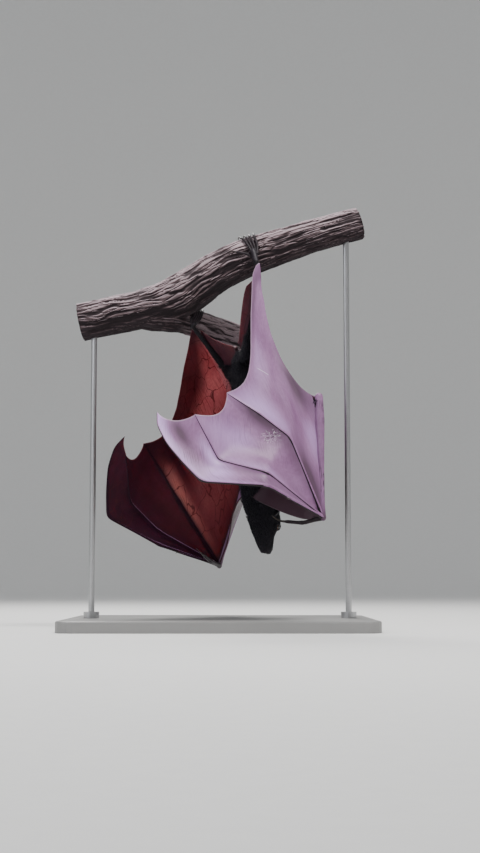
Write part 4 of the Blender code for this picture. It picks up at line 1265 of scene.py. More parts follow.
class Nodes:
    """The nodes of a material or of a group, made by short calls. Inputs are values or sockets to link."""

    def __init__(self, tree):
        self.tree = tree

    def connect(self, value, socket):
        if isinstance(value, bpy.types.NodeSocket):
            self.tree.links.new(value, socket)
        elif socket.type == "RGBA" and len(value) == 3:
            socket.default_value = (*value, 1.0)
        else:
            socket.default_value = value

    def node(self, kind, settings=None, **inputs):
        """A shader node; its inputs are given by name, or as _0, _1 and so on by number."""
        made = self.tree.nodes.new(f"ShaderNode{kind}")
        for name, value in (settings or {}).items():
            setattr(made, name, value)
        for name, value in inputs.items():
            self.connect(value, made.inputs[int(name[1:]) if name[0] == "_" else name.replace("_", " ")])
        return made

    def blend(self, factor, a, b):
        """Colour a turned towards b by a factor."""
        return self.node("Mix", {"data_type": "RGBA", "blend_type": "MIX"}, _0=factor, _6=a, _7=b).outputs[2]

    def maths(self, kind, a, b=0.0):
        return self.node("Math", {"operation": kind}, _0=a, _1=b).outputs[0]

    def times(self, a, b):
        return self.maths("MULTIPLY", a, b)

    def plus(self, a, b):
        return self.maths("ADD", a, b)

    def inverse(self, a):
        return self.maths("SUBTRACT", 1.0, a)

    def larger(self, a, b):
        return self.maths("MAXIMUM", a, b)

    def ramp(self, value, *stops):
        """Value read through a curve of (place, level) stops."""
        made = self.node("ValToRGB", _0=value)
        elements = made.color_ramp.elements
        while len(elements) < len(stops):
            elements.new(0.5)
        for element, (place, level) in zip(elements, stops):
            element.position = place
            element.color = (level, level, level, 1)
        return made.outputs[0]

    def noise(self, place, scale=1.0, **inputs):
        return self.node("TexNoise", Vector=place, Scale=scale, **inputs).outputs[0]

    def cells(self, place, scale):
        """Distance to the nearest border of a net of cells."""
        return self.node("TexVoronoi", {"feature": "DISTANCE_TO_EDGE"}, Vector=place, Scale=scale).outputs[0]

    def stretched(self, place, factors):
        return self.node("VectorMath", {"operation": "MULTIPLY"}, _0=place, _1=factors).outputs[0]

    def value(self, name):
        """A number that the mesh carries at each point."""
        return self.node("Attribute", {"attribute_name": name}).outputs["Fac"]

    def lie(self):
        """The place that the mesh carries at each point, along the lie of its surface."""
        return self.node("Attribute", {"attribute_name": "lie"}).outputs["Vector"]

    def object_place(self):
        return self.node("TexCoord").outputs["Object"]

    def group(self, name, **inputs):
        made = self.node("Group", {"node_tree": bpy.data.node_groups[name]})
        for label, value in inputs.items():
            self.connect(value, made.inputs[label])
        return made.outputs

    def tones(self, place, broad, fine, first, second):
        """(colour, cloud) of two close tones."""
        made = self.group("uneven tone", Place=place, Broad=broad, Fine=fine, First=first, Second=second)
        return made["Colour"], made["Cloud"]


def new_group(name, takes, gives):
    """(nodes, takes, gives) of a shader group, from inputs (name, kind, value) and outputs (name, kind)."""
    tree = bpy.data.node_groups.new(name, "ShaderNodeTree")
    for label, kind, value in takes:
        socket = tree.interface.new_socket(label, in_out="INPUT", socket_type=kind)
        socket.default_value = value
    for label, kind in gives:
        tree.interface.new_socket(label, in_out="OUTPUT", socket_type=kind)
    return Nodes(tree), tree.nodes.new("NodeGroupInput").outputs, tree.nodes.new("NodeGroupOutput").inputs


def group_uneven_tone():
    """Two close tones mixed by a soft cloud and a fine one, read at any coordinates."""
    takes = [("Place", VECTOR, ORIGIN), ("Broad", FLOAT, 40.0), ("Fine", FLOAT, 400.0)]
    takes += [("First", COLOUR, WHITE), ("Second", COLOUR, BLACK)]
    g, take, give = new_group("uneven tone", takes, [("Colour", COLOUR), ("Cloud", FLOAT)])
    broad = g.noise(take["Place"], take["Broad"], Detail=3.0, Roughness=0.55)
    fine = g.noise(take["Place"], take["Fine"], Detail=2.0, Roughness=0.6)
    cloud = g.ramp(g.plus(g.times(broad, 0.7), g.times(fine, 0.3)), (0.36, 0.0), (0.64, 1.0))
    g.connect(cloud, give["Cloud"])
    g.connect(g.blend(cloud, take["First"], take["Second"]), give["Colour"])


def group_fine_wrinkles():
    """Height of the fine creases of bare skin: long ones that follow its lie, and a net of short ones."""
    takes = [("Lie", VECTOR, ORIGIN), ("Long", FLOAT, 60.0), ("Close", FLOAT, 900.0), ("Net", FLOAT, 900.0)]
    g, take, give = new_group("fine wrinkles", takes, [("Height", FLOAT)])
    scale = g.node("CombineXYZ", _0=take["Close"], _1=take["Long"], _2=60.0)
    long = g.noise(g.stretched(take["Lie"], scale.outputs[0]), Detail=3.0, Distortion=0.6)
    net = g.ramp(g.cells(take["Lie"], take["Net"]), (0.0, 0.0), (0.12, 1.0))
    g.connect(g.plus(g.times(long, 0.75), g.times(net, 0.25)), give["Height"])


def group_muscle_streaks():
    """Fine dark lines of the muscles in a membrane; Turn is their slant across its lie."""
    takes = [("Lie", VECTOR, ORIGIN), ("Turn", FLOAT, 0.0)]
    g, take, give = new_group("muscle streaks", takes, [("Streaks", FLOAT)])
    turned = g.node("VectorRotate", {"rotation_type": "Z_AXIS"}, Vector=take["Lie"], Angle=take["Turn"])
    lines = g.noise(g.stretched(turned.outputs[0], (620.0, 34.0, 60.0)), Detail=2.0, Distortion=0.4)
    where = g.noise(take["Lie"], 24.0, Detail=1.0)
    streaks = g.times(g.ramp(lines, (0.50, 0.0), (0.66, 1.0)), g.ramp(where, (0.42, 0.15), (0.62, 1.0)))
    g.connect(streaks, give["Streaks"])


def group_crease_star():
    """A small star of puckered creases, whose pale lines are painted highlights and whose dark pits beside
    them are painted shade, and a pale healed scratch.
    """
    g, _, give = new_group("crease star and scratch", [], [("Pale", FLOAT), ("Dark", FLOAT)])
    place = g.node("CombineXYZ", _0=g.value("scar_x"), _1=g.value("scar_y")).outputs[0]
    far = g.node("VectorMath", {"operation": "LENGTH"}, _0=place).outputs["Value"]
    near = g.ramp(g.times(far, 30.0), (0.06, 1.0), (0.50, 0.0))
    heading = g.node("VectorMath", {"operation": "NORMALIZE"}, _0=place).outputs[0]
    bend = g.node("VectorMath", {"operation": "MULTIPLY_ADD"}, _0=place, _1=(40.0, 40.0, 0.0), _2=heading)
    star = g.ramp(g.noise(bend.outputs[0], 2.6, Detail=1.0), (0.550, 0.0), (0.585, 1.0), (0.625, 0.0))
    pits = g.ramp(g.noise(place, 210.0, Detail=1.0), (0.53, 0.0), (0.60, 0.9))
    aside = g.plus(g.value("cut_x"), g.times(g.value("cut_y"), 0.15))
    line = g.ramp(g.times(g.maths("ABSOLUTE", aside), 1000.0), (0.30, 0.6), (0.75, 0.0))
    ends = g.ramp(g.times(g.maths("ABSOLUTE", g.value("cut_y")), 40.0), (0.55, 1.0), (0.85, 0.0))
    g.connect(g.larger(g.times(near, star), g.times(line, ends)), give["Pale"])
    g.connect(g.times(near, pits), give["Dark"])


class Finish(Nodes):
    """A material whose colour is laid on coat by coat before it goes to its Principled shader."""

    def __init__(self, name, **shader):
        self.made = bpy.data.materials.new(name)
        self.made.use_nodes = True
        super().__init__(self.made.node_tree)
        self.shader = self.tree.nodes["Principled BSDF"]
        for label, value in shader.items():
            self.connect(value, self.shader.inputs[label.replace("_", " ")])
        self.colour = None

    def over(self, factor, colour):
        """Turn the colour so far towards another by a factor."""
        self.colour = self.blend(factor, self.colour, colour)

    def wrinkled(self, lie, long, close, net, distance, strength):
        height = self.group("fine wrinkles", Lie=lie, Long=long, Close=close, Net=net)["Height"]
        self.bumped(height, distance, strength)

    def bumped(self, height, distance, strength):
        bump = self.node("Bump", Strength=strength, Distance=distance, Height=height)
        self.connect(bump.outputs[0], self.shader.inputs["Normal"])

    def done(self, rough=None):
        self.connect(self.colour, self.shader.inputs["Base Color"])
        if rough is not None:
            self.connect(rough, self.shader.inputs["Roughness"])
        return self.made

    def over_bone_shade(self, start, amount, colour):
        """Painted shade: a dark line along a bone, where the skin meets it."""
        bone = self.ramp(self.value("bone"), start, (1.0 if start[0] > 0.5 else 0.95, 1.0))
        self.over(self.times(bone, amount), colour)

    def over_backlit_hem(self, start, colour):
        """Painted light along a free edge, as if light came through the thin hem, left off where the skin is
        shaded.
        """
        rim = self.ramp(self.value("rim"), (start, 0.0), (1.0, 0.7))
        self.over(self.times(rim, self.inverse(self.value("shade"))), colour)


def wing_outside_finish():
    """The upper side of a wing: smooth greyish mauve skin, with soft patches of painted highlight and painted
    shade, dark finger lines of painted shade and a pale hem of painted light.
    """
    look = Finish("wing outside", Specular_IOR_Level=0.38, Sheen_Weight=0.04, Sheen_Roughness=0.45)
    look.connect((0.80, 0.70, 0.85), look.shader.inputs["Sheen Tint"])
    lie = look.lie()
    look.colour, cloud = look.tones(lie, 18.0, 160.0, (0.245, 0.114, 0.238), (0.345, 0.185, 0.348))
    # tone: painted highlights where it is above 0, painted shade where it is below 0.
    tone = look.value("tone")
    look.over(look.larger(tone, 0.0), (0.620, 0.385, 0.770))
    look.over(look.larger(look.times(tone, -1.0), 0.0), (0.105, 0.055, 0.095))
    streaks = look.group("muscle streaks", Lie=lie, Turn=0.8)["Streaks"]
    look.over(look.times(streaks, look.plus(look.value("bare"), 0.30)), (0.090, 0.045, 0.085))
    # Pale: painted highlights on the crease star's lines, and the pale scratch. Dark: painted shade in the
    # pits beside the creases.
    crease_light = look.group("crease star and scratch")
    look.over(crease_light["Pale"], (0.850, 0.780, 0.880))
    look.over(crease_light["Dark"], (0.070, 0.035, 0.060))
    look.over(look.value("shade"), (0.050, 0.022, 0.036))
    look.over_bone_shade((0.45, 0.0), 0.75, (0.018, 0.010, 0.013))
    look.over_backlit_hem(0.50, (0.520, 0.400, 0.480))
    look.wrinkled(lie, 35.0, 420.0, 900.0, 0.00030, 0.40)
    return look.done(look.plus(look.times(cloud, 0.10), 0.40))


def wing_inside_finish():
    """The under side of a wing: dark maroon skin, brick red where it is thin and light comes through."""
    look = Finish("wing inside", Roughness=0.50, Specular_IOR_Level=0.12, Subsurface_Weight=0.30)
    look.connect(0.003, look.shader.inputs["Subsurface Scale"])
    look.connect((1.0, 0.45, 0.45), look.shader.inputs["Subsurface Radius"])
    lie = look.lie()
    look.colour, _ = look.tones(lie, 22.0, 190.0, (0.010, 0.002, 0.007), (0.023, 0.004, 0.015))
    lit, _ = look.tones(lie, 30.0, 260.0, (0.370, 0.118, 0.140), (0.530, 0.205, 0.215))
    look.over(look.value("glow"), lit)
    # On the far wing, bare carries painted light: the bright band beside finger five.
    look.over(look.value("bare"), (0.320, 0.135, 0.110))
    look.over(look.value("shade"), (0.060, 0.028, 0.030))
    cracks = look.ramp(look.cells(lie, 190.0), (0.0, 0.26), (0.05, 0.0))
    bent = look.node("TexNoise", Vector=lie, Scale=30.0).outputs[1]
    bent = look.node("Mix", {"data_type": "VECTOR"}, _0=0.03, _4=lie, _5=bent).outputs[1]
    veins = look.ramp(look.cells(bent, 26.0), (0.008, 0.8), (0.022, 0.0))
    streaks = look.group("muscle streaks", Lie=lie, Turn=0.15)["Streaks"]
    look.over(look.larger(look.larger(cracks, veins), look.times(streaks, 0.55)), (0.026, 0.007, 0.011))
    look.over_bone_shade((0.70, 0.0), 0.7, (0.026, 0.009, 0.014))
    look.over_backlit_hem(0.45, (0.160, 0.060, 0.070))
    look.wrinkled(lie, 40.0, 360.0, 800.0, 0.00040, 0.5)
    return look.done()


def hide_finish():
    """Skin under the coat, near black, and the bare grained skin of the nose."""
    look = Finish("hide", Roughness=0.62, Specular_IOR_Level=0.30)
    lie = look.lie()
    look.colour, _ = look.tones(lie, 60.0, 900.0, (0.006, 0.005, 0.007), (0.012, 0.009, 0.012))
    nose, _ = look.tones(lie, 120.0, 1500.0, (0.010, 0.008, 0.012), (0.026, 0.019, 0.026))
    look.over(look.value("bare"), nose)
    look.wrinkled(lie, 900.0, 1100.0, 1700.0, 0.00025, 0.8)
    return look.done(look.maths("SUBTRACT", 0.66, look.times(look.value("bare"), 0.22)))


def limb_finish():
    """Tight dark skin over the thumbs and toes, and on the near fingers' side turned from the light, where it
    is painted shade.
    """
    look = Finish("limb skin", Roughness=0.50, Specular_IOR_Level=0.24)
    lie = look.lie()
    look.colour, _ = look.tones(lie, 90.0, 900.0, (0.011, 0.007, 0.010), (0.025, 0.016, 0.021))
    look.wrinkled(lie, 700.0, 900.0, 1300.0, 0.00022, 0.7)
    return look.done()


def coat_finish():
    """Fur, near black, with a chestnut mantle on the back of the neck; each lock is paler to its tip."""
    look = Finish("coat", Roughness=0.52, Specular_IOR_Level=0.22)
    place = look.object_place()
    look.colour, _ = look.tones(place, 70.0, 700.0, (0.003, 0.003, 0.006), (0.009, 0.007, 0.013))
    brown, _ = look.tones(place, 70.0, 700.0, (0.045, 0.018, 0.009), (0.090, 0.038, 0.018))
    look.over(look.value("mantle"), brown)
    look.over(look.times(look.value("tip"), 0.35), (0.030, 0.027, 0.036))
    return look.done()


def claw_finish():
    """Dark horn, paler and clearer towards the point, with fine lengthwise lines."""
    look = Finish("claw", Roughness=0.36, Specular_IOR_Level=0.4)
    lines = look.noise(look.stretched(look.lie(), (900.0, 60.0, 1.0)), Detail=2.0)
    look.colour = look.blend(lines, (0.012, 0.009, 0.009), (0.040, 0.029, 0.026))
    look.over(look.value("tip"), (0.075, 0.055, 0.046))
    look.bumped(lines, 0.0002, 0.5)
    return look.done()


def eye_finish():
    """A wet eye: black pupil, red-brown iris with fine rays, dark rim."""
    look = Finish("eye", Roughness=0.10, Specular_IOR_Level=0.35, Coat_Weight=0.5, Coat_Roughness=0.04)
    turn = look.value("off_axis")
    rays = look.noise(look.lie(), 14.0, Detail=3.0)
    look.colour = look.blend(rays, (0.020, 0.007, 0.004), (0.095, 0.030, 0.012))
    look.over(look.ramp(turn, (0.30, 1.0), (0.36, 0.0)), (0.002, 0.002, 0.002))
    look.over(look.ramp(turn, (0.62, 0.0), (0.78, 1.0)), (0.012, 0.006, 0.005))
    return look.done()


def bark_finish():
    """Grey-brown bark, pinkish grey on its ridges, dark in its cracks from its own colour and painted shade
    together, with painted light on its top and on the side branch and painted shade on its underside.
    """
    look = Finish("bark", Roughness=0.88, Specular_IOR_Level=0.25)
    lie = look.lie()
    look.colour, _ = look.tones(lie, 28.0, 300.0, (0.088, 0.055, 0.060), (0.160, 0.108, 0.114))
    ridge = look.ramp(look.value("ridge"), (0.55, 0.0), (1.0, 1.0))
    crack = look.ramp(look.value("ridge"), (0.0, 1.0), (0.60, 0.0))
    look.over(look.times(ridge, 0.50), (0.330, 0.245, 0.260))
    normal = look.node("NewGeometry").outputs["Normal"]
    upward = look.node("SeparateXYZ", _0=normal).outputs[2]
    # Painted light on the top of the branch.
    look.over(look.ramp(upward, (0.15, 0.0), (0.85, 0.75)), (0.620, 0.500, 0.540))
    # Painted shade on the underside of the branch.
    upward = look.plus(look.times(upward, 0.5), 0.5)
    look.over(look.ramp(upward, (0.25, 0.95), (0.70, 0.0)), (0.016, 0.011, 0.014))
    # Pale painted light on the side branch, kept out of its cracks.
    look.over(look.times(look.value("painted_light"), look.inverse(crack)), (0.420, 0.330, 0.350))
    # Dark cracks: the bark's own colour and painted shade together.
    look.over(look.times(crack, 0.85), (0.016, 0.011, 0.013))
    grain = look.noise(look.stretched(lie, (420.0, 90.0, 420.0)), Detail=6.0, Roughness=0.65)
    look.bumped(grain, 0.0016, 0.9)
    return look.done()


def cut_wood_finish():
    """The sawn ends of the branch: pale wood with its year rings and a dark ring of bark."""
    look = Finish("cut wood", Roughness=0.78, Specular_IOR_Level=0.3)
    lie = look.lie()
    look.colour, _ = look.tones(lie, 60.0, 800.0, (0.300, 0.190, 0.110), (0.400, 0.270, 0.165))
    wave = {"Vector": lie, "Scale": 55.0, "Distortion": 2.2, "Detail": 2.0, "Detail Scale": 2.0}
    rings = look.node("TexWave", {"wave_type": "BANDS", "bands_direction": "Z"}, **wave).outputs[1]
    look.over(look.times(rings, 0.45), (0.170, 0.095, 0.050))
    look.bumped(rings, 0.0003, 0.6)
    return look.done()


def paint_finish():
    """Satin grey paint on a board: a little orange peel, and rubbed paler along its edges."""
    look = Finish("stand paint", Roughness=0.42)
    place = look.object_place()
    look.colour, cloud = look.tones(place, 9.0, 120.0, (0.150, 0.148, 0.144), (0.172, 0.170, 0.166))
    edge = look.ramp(look.node("NewGeometry").outputs["Pointiness"], (0.515, 0.0), (0.56, 0.6))
    look.over(edge, (0.34, 0.335, 0.33))
    look.bumped(look.noise(place, 420.0, Detail=2.0), 0.0003, 0.25)
    return look.done(look.plus(look.times(cloud, 0.08), 0.38))


def steel_finish():
    """Drawn steel rod with fine lines round it."""
    look = Finish("rod steel", Base_Color=(0.52, 0.52, 0.53), Metallic=1.0, Roughness=0.32)
    lines = look.noise(look.stretched(look.object_place(), (60.0, 60.0, 4000.0)), Detail=2.0)
    look.colour = look.blend(lines, (0.42, 0.42, 0.43), (0.60, 0.60, 0.61))
    look.bumped(lines, 0.0001, 0.3)
    return look.done(look.plus(look.times(lines, 0.18), 0.24))


# ---------------------------------------------------------------- coat
# Each region: locks per square metre, (share, length) along the lie, (share, lift in degrees), width.
COAT = {
    "head": (
        1.05e6, [(0.0, 0.0018), (0.2, 0.0032), (0.45, 0.0055), (0.7, 0.0095), (1.0, 0.0130)],
        [(0.0, 16), (0.4, 22), (0.7, 24), (1.0, 17)], 0.00046,
    ),
    "neck": (
        0.85e6, [(0.0, 0.0125), (0.5, 0.0160), (1.0, 0.0165)], [(0.0, 17), (0.5, 28), (1.0, 32)], 0.00058,
    ),
    "trunk": (0.62e6, [(0.0, 0.0165), (0.7, 0.0150), (1.0, 0.0110)], [(0.0, 32), (1.0, 28)], 0.00066),
    "thigh": (0.70e6, [(0.0, 0.0110), (1.0, 0.0075)], [(0.0, 24), (1.0, 20)], 0.00052),
    "shin": (0.60e6, [(0.0, 0.0060), (0.6, 0.0040), (1.0, 0.0022)], [(0.0, 16), (1.0, 10)], 0.00040),
    "arm": (0.65e6, [(0.0, 0.0100), (1.0, 0.0055)], [(0.0, 22), (1.0, 16)], 0.00050),
}
BODY_REGIONS = ("neck", "trunk", "head")
# No lock grows nearer to the middle of an eye than the first; they reach their full length at the second.
EYE_CLEAR, EYE_FULL = 0.0062, 0.016
SHAGGY_LENGTH, SHAGGY_LIFT = 1.12, 1.35
DEEPEST_ROOT = 0.0007
LOCKS_PER_PIECE = 12000
# The rings of a lock: (share of its length, breadth of the ring there, bend on the way to it).
LOCK_RINGS = [(0.0, 0.85, 0.0), (0.36, 1.0, 1.15), (0.70, 0.66, 0.75)]
LOCK_TIP = (1.0, 0.0, 0.40)
LOCK_DEPTH = 0.55
# Half the width of a lock's patch in the texture, and how far the patch reaches.
PATCH_HALF, PATCH_REACH = 0.0015, 0.0028


def coat_roots(rng, centre, normal, area, density):
    """Places of locks scattered over faces, so many to the square metre."""
    count = int(density * area.sum())
    chosen = rng.choice(len(centre), count, p=area / area.sum())
    n = normal[chosen]
    side = unit(np.cross(n, rng.normal(size=(count, 3))))
    place = centre[chosen] + side * (rng.random(count) * 0.6 * np.sqrt(area[chosen]))[:, None]
    return place, n, chosen


def lock_mesh(name, rng, roots, normals, lie, length, lift, width, patch, mantle, finish):
    """Thin three-sided locks, each bending down towards the lie of the coat, as one mesh piece."""
    count = len(roots)
    lie = unit(lie - normals * (lie * normals).sum(1, keepdims=True))
    side = np.cross(lie, normals)
    sway = rng.normal(0, 0.20, count)[:, None]
    lie = unit(lie * np.cos(sway) + side * np.sin(sway))
    side = np.cross(lie, normals)
    length = length * rng.uniform(0.72, 1.18, count)
    width = width * rng.uniform(0.75, 1.25, count)
    angle = np.radians(lift * rng.uniform(0.6, 1.4, count))
    curl = rng.normal(0, 0.12, count)[:, None]
    points, tips, patches = [], [], []
    at = roots - normals * np.minimum(DEEPEST_ROOT, 0.10 * length)[:, None]
    last = 0.0
    for share, broad, bends in (*LOCK_RINGS, LOCK_TIP):
        if share > 0:
            bend = angle * bends
            heading = lie * np.cos(bend)[:, None] + normals * np.sin(bend)[:, None] + side * curl * share
            at = at + unit(heading) * (length * (share - last))[:, None]
            last = share
        if share == 1:
            points.append(at[:, None, :])
            patches.append(patch[:, None, :] + np.array([[[0.0, PATCH_HALF]]]))
            tips.append(np.ones((count, 1)))
            continue
        breadth = width * broad
        corners = []
        for across, over in ((1.0, 0.0), (-1.0, 0.0), (0.0, LOCK_DEPTH)):
            corners.append(at + side * (across * breadth)[:, None] + normals * (over * breadth)[:, None])
        points.append(np.stack(corners, 1))
        low = share * PATCH_REACH - PATCH_REACH / 2
        offsets = [(-PATCH_HALF, low), (PATCH_HALF, low), (0.0, low + 0.0004)]
        patches.append(patch[:, None, :] + np.array([offsets]))
        tips.append(np.full((count, 3), share))
    points, patches, tips = (np.concatenate(rings, 1) for rings in (points, patches, tips))
    per = points.shape[1]
    faces = [(a, d, c, b) for a, b, c, d in band(3, 3)]
    faces += [(6 + k, 6 + (k + 1) % 3, 9) for k in range(3)] + [(2, 1, 0)]
    corners = np.array([i for face in faces for i in face])
    loops = (np.arange(count)[:, None] * per + corners[None, :]).ravel()
    totals = np.tile(np.array([len(face) for face in faces]), count)
    mesh = bpy.data.meshes.new(name)
    mesh.vertices.add(count * per)
    mesh.vertices.foreach_set("co", points.ravel())
    mesh.loops.add(len(loops))
    mesh.loops.foreach_set("vertex_index", loops.astype(np.int32))
    mesh.polygons.add(len(totals))
    mesh.polygons.foreach_set("loop_start", (np.cumsum(totals) - totals).astype(np.int32))
    mesh.update(calc_edges=True)
    mesh.shade_smooth()
    layer = mesh.uv_layers.new(name="OFBake")
    layer.data.foreach_set("uv", patches.reshape(-1, 2)[loops].ravel().astype(np.float32))
    write_value(mesh, "tip", tips.ravel())
    write_value(mesh, "mantle", np.repeat(mantle, per))
    mesh.materials.append(finish)
    return placed(name, mesh)


def build_coat(mesh, axes, finish):
    """The coat, region by region, in pieces that stay small."""
    rng = np.random.default_rng(11)
    centre, normal = from_mesh(mesh.polygons, "center"), from_mesh(mesh.polygons, "normal")
    area = from_mesh(mesh.polygons, "area", 1)[:, 0]
    which, share, ahead, foot = sorted_into(axes, centre)
    made = []
    belly = np.array(belly_direction(NECK_TURN))
    eyes = [np.array(eye_centre(side)) for side in SIDES]

    def from_eyes(places):
        return np.min([np.linalg.norm(places - eye, axis=1) for eye in eyes], axis=0)

    for n, (name, _, _) in enumerate(axes):
        region = name.split("_")[0]
        if region not in COAT:
            continue
        density, lengths, lifts, width = COAT[region]
        faces = np.flatnonzero((which == n) & (area > 0))
        if region == "head":
            head_share = head_coordinates(centre[faces])[0]
            faces = faces[(head_share < 0.955) & (from_eyes(centre[faces]) > EYE_CLEAR)]
        if region in ("shin", "arm"):
            faces = faces[share[faces] < 0.93]
        roots, normals, chosen = coat_roots(rng, centre[faces], normal[faces], area[faces], density)
        chosen = faces[chosen]
        along_axis = share[chosen]
        length, lift = read(lengths, along_axis), read(lifts, along_axis)
        around = roots - foot[chosen]
        if region in ("neck", "head"):
            shaggy = ((unit(around) @ belly) > 0.25) & ((region == "neck") | (along_axis > 0.6))
            length = np.where(shaggy, length * SHAGGY_LENGTH, length)
            lift = np.where(shaggy, lift * SHAGGY_LIFT, lift)
        if region == "head":
            length = length * np.clip(from_eyes(roots) / EYE_FULL, 0.25, 1)
        first = np.array([0.0, 1.0, 0.3])
        first = unit(first - ahead[chosen] * (ahead[chosen] @ first)[:, None])
        second = np.cross(ahead[chosen], first)
        turn = np.arctan2((around * second).sum(1), (around * first).sum(1)) / (2 * np.pi) + 0.5
        patch = np.stack([0.02 + 0.96 * turn, 0.02 + 0.96 * along_axis], 1)
        fade = {"neck": along_axis * 3, "trunk": 1 - along_axis * 4}.get(region, 0.0)
        mantle = np.clip(unit(around) @ -belly * 1.4 - 0.2, 0, 1) * np.clip(fade, 0, 1)
        order = np.argsort(turn if region in BODY_REGIONS else along_axis, kind="stable")
        pieces = math.ceil(len(order) / LOCKS_PER_PIECE)
        for k, part in enumerate(np.array_split(order, pieces)):
            label = f"coat_{name}_{k + 1}" if pieces > 1 else f"coat_{name}"
            rows = (roots[part], normals[part], ahead[chosen[part]], length[part], lift[part])
            made.append(lock_mesh(label, rng, *rows, width, patch[part], mantle[part], finish))
    return made


# ---------------------------------------------------------------- eyes and claws
CORNEA = 0.0005


def build_eyes(finish):
    made = []
    for side in SIDES:
        centre, look = eye_centre(side), gaze(side)
        up = look.orthogonal().normalized()
        across = look.cross(up).normalized()
        rings, off, rays = [], [], []
        for i in range(1, 24):
            a = math.pi * i / 24
            bulge = CORNEA * math.exp(-((a / 0.55) ** 2))
            ring = []
            for b in circle(32):
                direction = look * math.cos(a) + (up * math.cos(b) + across * math.sin(b)) * math.sin(a)
                ring.append(centre + direction * (EYE_RADIUS + bulge))
                off.append(a / (math.pi / 2))
                rays.append((math.cos(b), math.sin(b), a * 0.2))
            rings.append(ring)
        points, faces = lofted(rings)
        points[-2] = tuple(centre + look * (EYE_RADIUS + CORNEA))
        points[-1] = tuple(centre - look * EYE_RADIUS)
        off += [0.0, 2.0]
        rays += [(0, 0, 0), (0, 0, 1)]
        eye = mesh_object(f"{side}_eye", points, [f[::-1] for f in faces], [finish])
        write_value(eye.data, "off_axis", np.array(off))
        write_value(eye.data, "lie", np.array(rays, float))
        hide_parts(f"eye_{side}")
        made.append(eye)
    return made


CLAW_SIDES, CLAW_NARROW = 10, 0.62
TOE_CLAW, THUMB_CLAW, INDEX_CLAW = 0.0016, 0.0023, 0.0012


def build_claws(joints, finish):
    """Claws of the toes, thumbs and index fingers, deep and narrow, joined as one piece."""
    shells, tip, lie = [], [], []

    def add(path, thick):
        shell = tube(path, lambda s: thick * (1 - s) ** 0.65 + 0.00012, CLAW_SIDES, CLAW_NARROW)
        shells.append(shell)
        rings = len(path)
        share = [r / (rings - 1) for r in range(rings) for _ in range(CLAW_SIDES)] + [0.0, 1.0]
        tip.extend(s**3 for s in share)
        lie.extend((k % CLAW_SIDES * 0.0006, share[k] * 0.02, 0.0) for k in range(len(share)))

    for side, j in joints.items():
        for toe in TOES[side]:
            add(toe_claw_line(side, toe), TOE_CLAW)
        end = j["thumb_end"]
        hook = (end - j["thumb_mid"]).normalized()
        add(rounded([end - hook * 0.003, end + hook * 0.010, j["claw_tip"]], 20, 0.7), THUMB_CLAW)
        end = j["index_tip"]
        ahead = (end - j["wrist"]).normalized()
        bent = end + ahead * 0.005 + Vector((0, 0, -0.004))
        add(rounded([end - ahead * 0.002, end + ahead * 0.003, bent], 12, 0.7), INDEX_CLAW)
    claws = mesh_object("claws", *joined(shells), [finish])
    write_value(claws.data, "tip", np.array(tip))
    write_value(claws.data, "lie", np.array(lie, float))
    return claws


# ---------------------------------------------------------------- branch
FURROW_DEPTH, CRACK_DEPTH, LUMP_DEPTH, FLAKE_DEPTH = 0.0024, 0.0011, 0.0005, 0.0003
RIDGE_SPACING = 0.0130
BARK_OVER = 0.0012
CUT_RINGS = 7


def bark_relief(turn, distance, radius, seed):
    """(depth below the outer surface, ridge value 0 to 1) of furrowed bark at arrays of places."""

    def bark_noise(at, wide, long, step):
        u, v = np.cos(at) * radius, np.sin(at) * radius
        return noise(stacked(u / wide, v / wide, distance / long), seed + step)

    drift = 0.0045 * bark_noise(turn, 0.02, 0.030, 0)
    drift = drift + 0.0016 * bark_noise(turn, 0.007, 0.009, 1)
    shifted = turn + drift / radius
    plates = bark_noise(shifted, 0.0040, 0.030, 2)
    strips = bark_noise(shifted, 0.0022, 0.020, 3)
    furrow = np.clip(0.12 - plates, 0, 1) ** 0.9 * 1.5
    small = np.clip(0.05 - strips, 0, 1)
    ridges = 2 * round(float(np.mean(radius)) * 2 * math.pi / RIDGE_SPACING)
    line = np.abs(np.sin(ridges * turn / 2 + 3.2 * bark_noise(shifted, 0.012, 0.045, 4)))
    furrow = np.clip(furrow + 0.75 * np.clip(1 - 2.6 * line, 0, 1), 0, 1)
    lump = bark_noise(shifted, 0.022, 0.040, 5)
    flake = bark_noise(shifted, 0.0030, 0.006, 6)
    depth = FURROW_DEPTH * furrow + CRACK_DEPTH * small + LUMP_DEPTH * (lump + 1) + FLAKE_DEPTH * (flake + 1)
    return depth, np.clip(1 - furrow - 0.7 * small + 0.15 * flake, 0, 1)


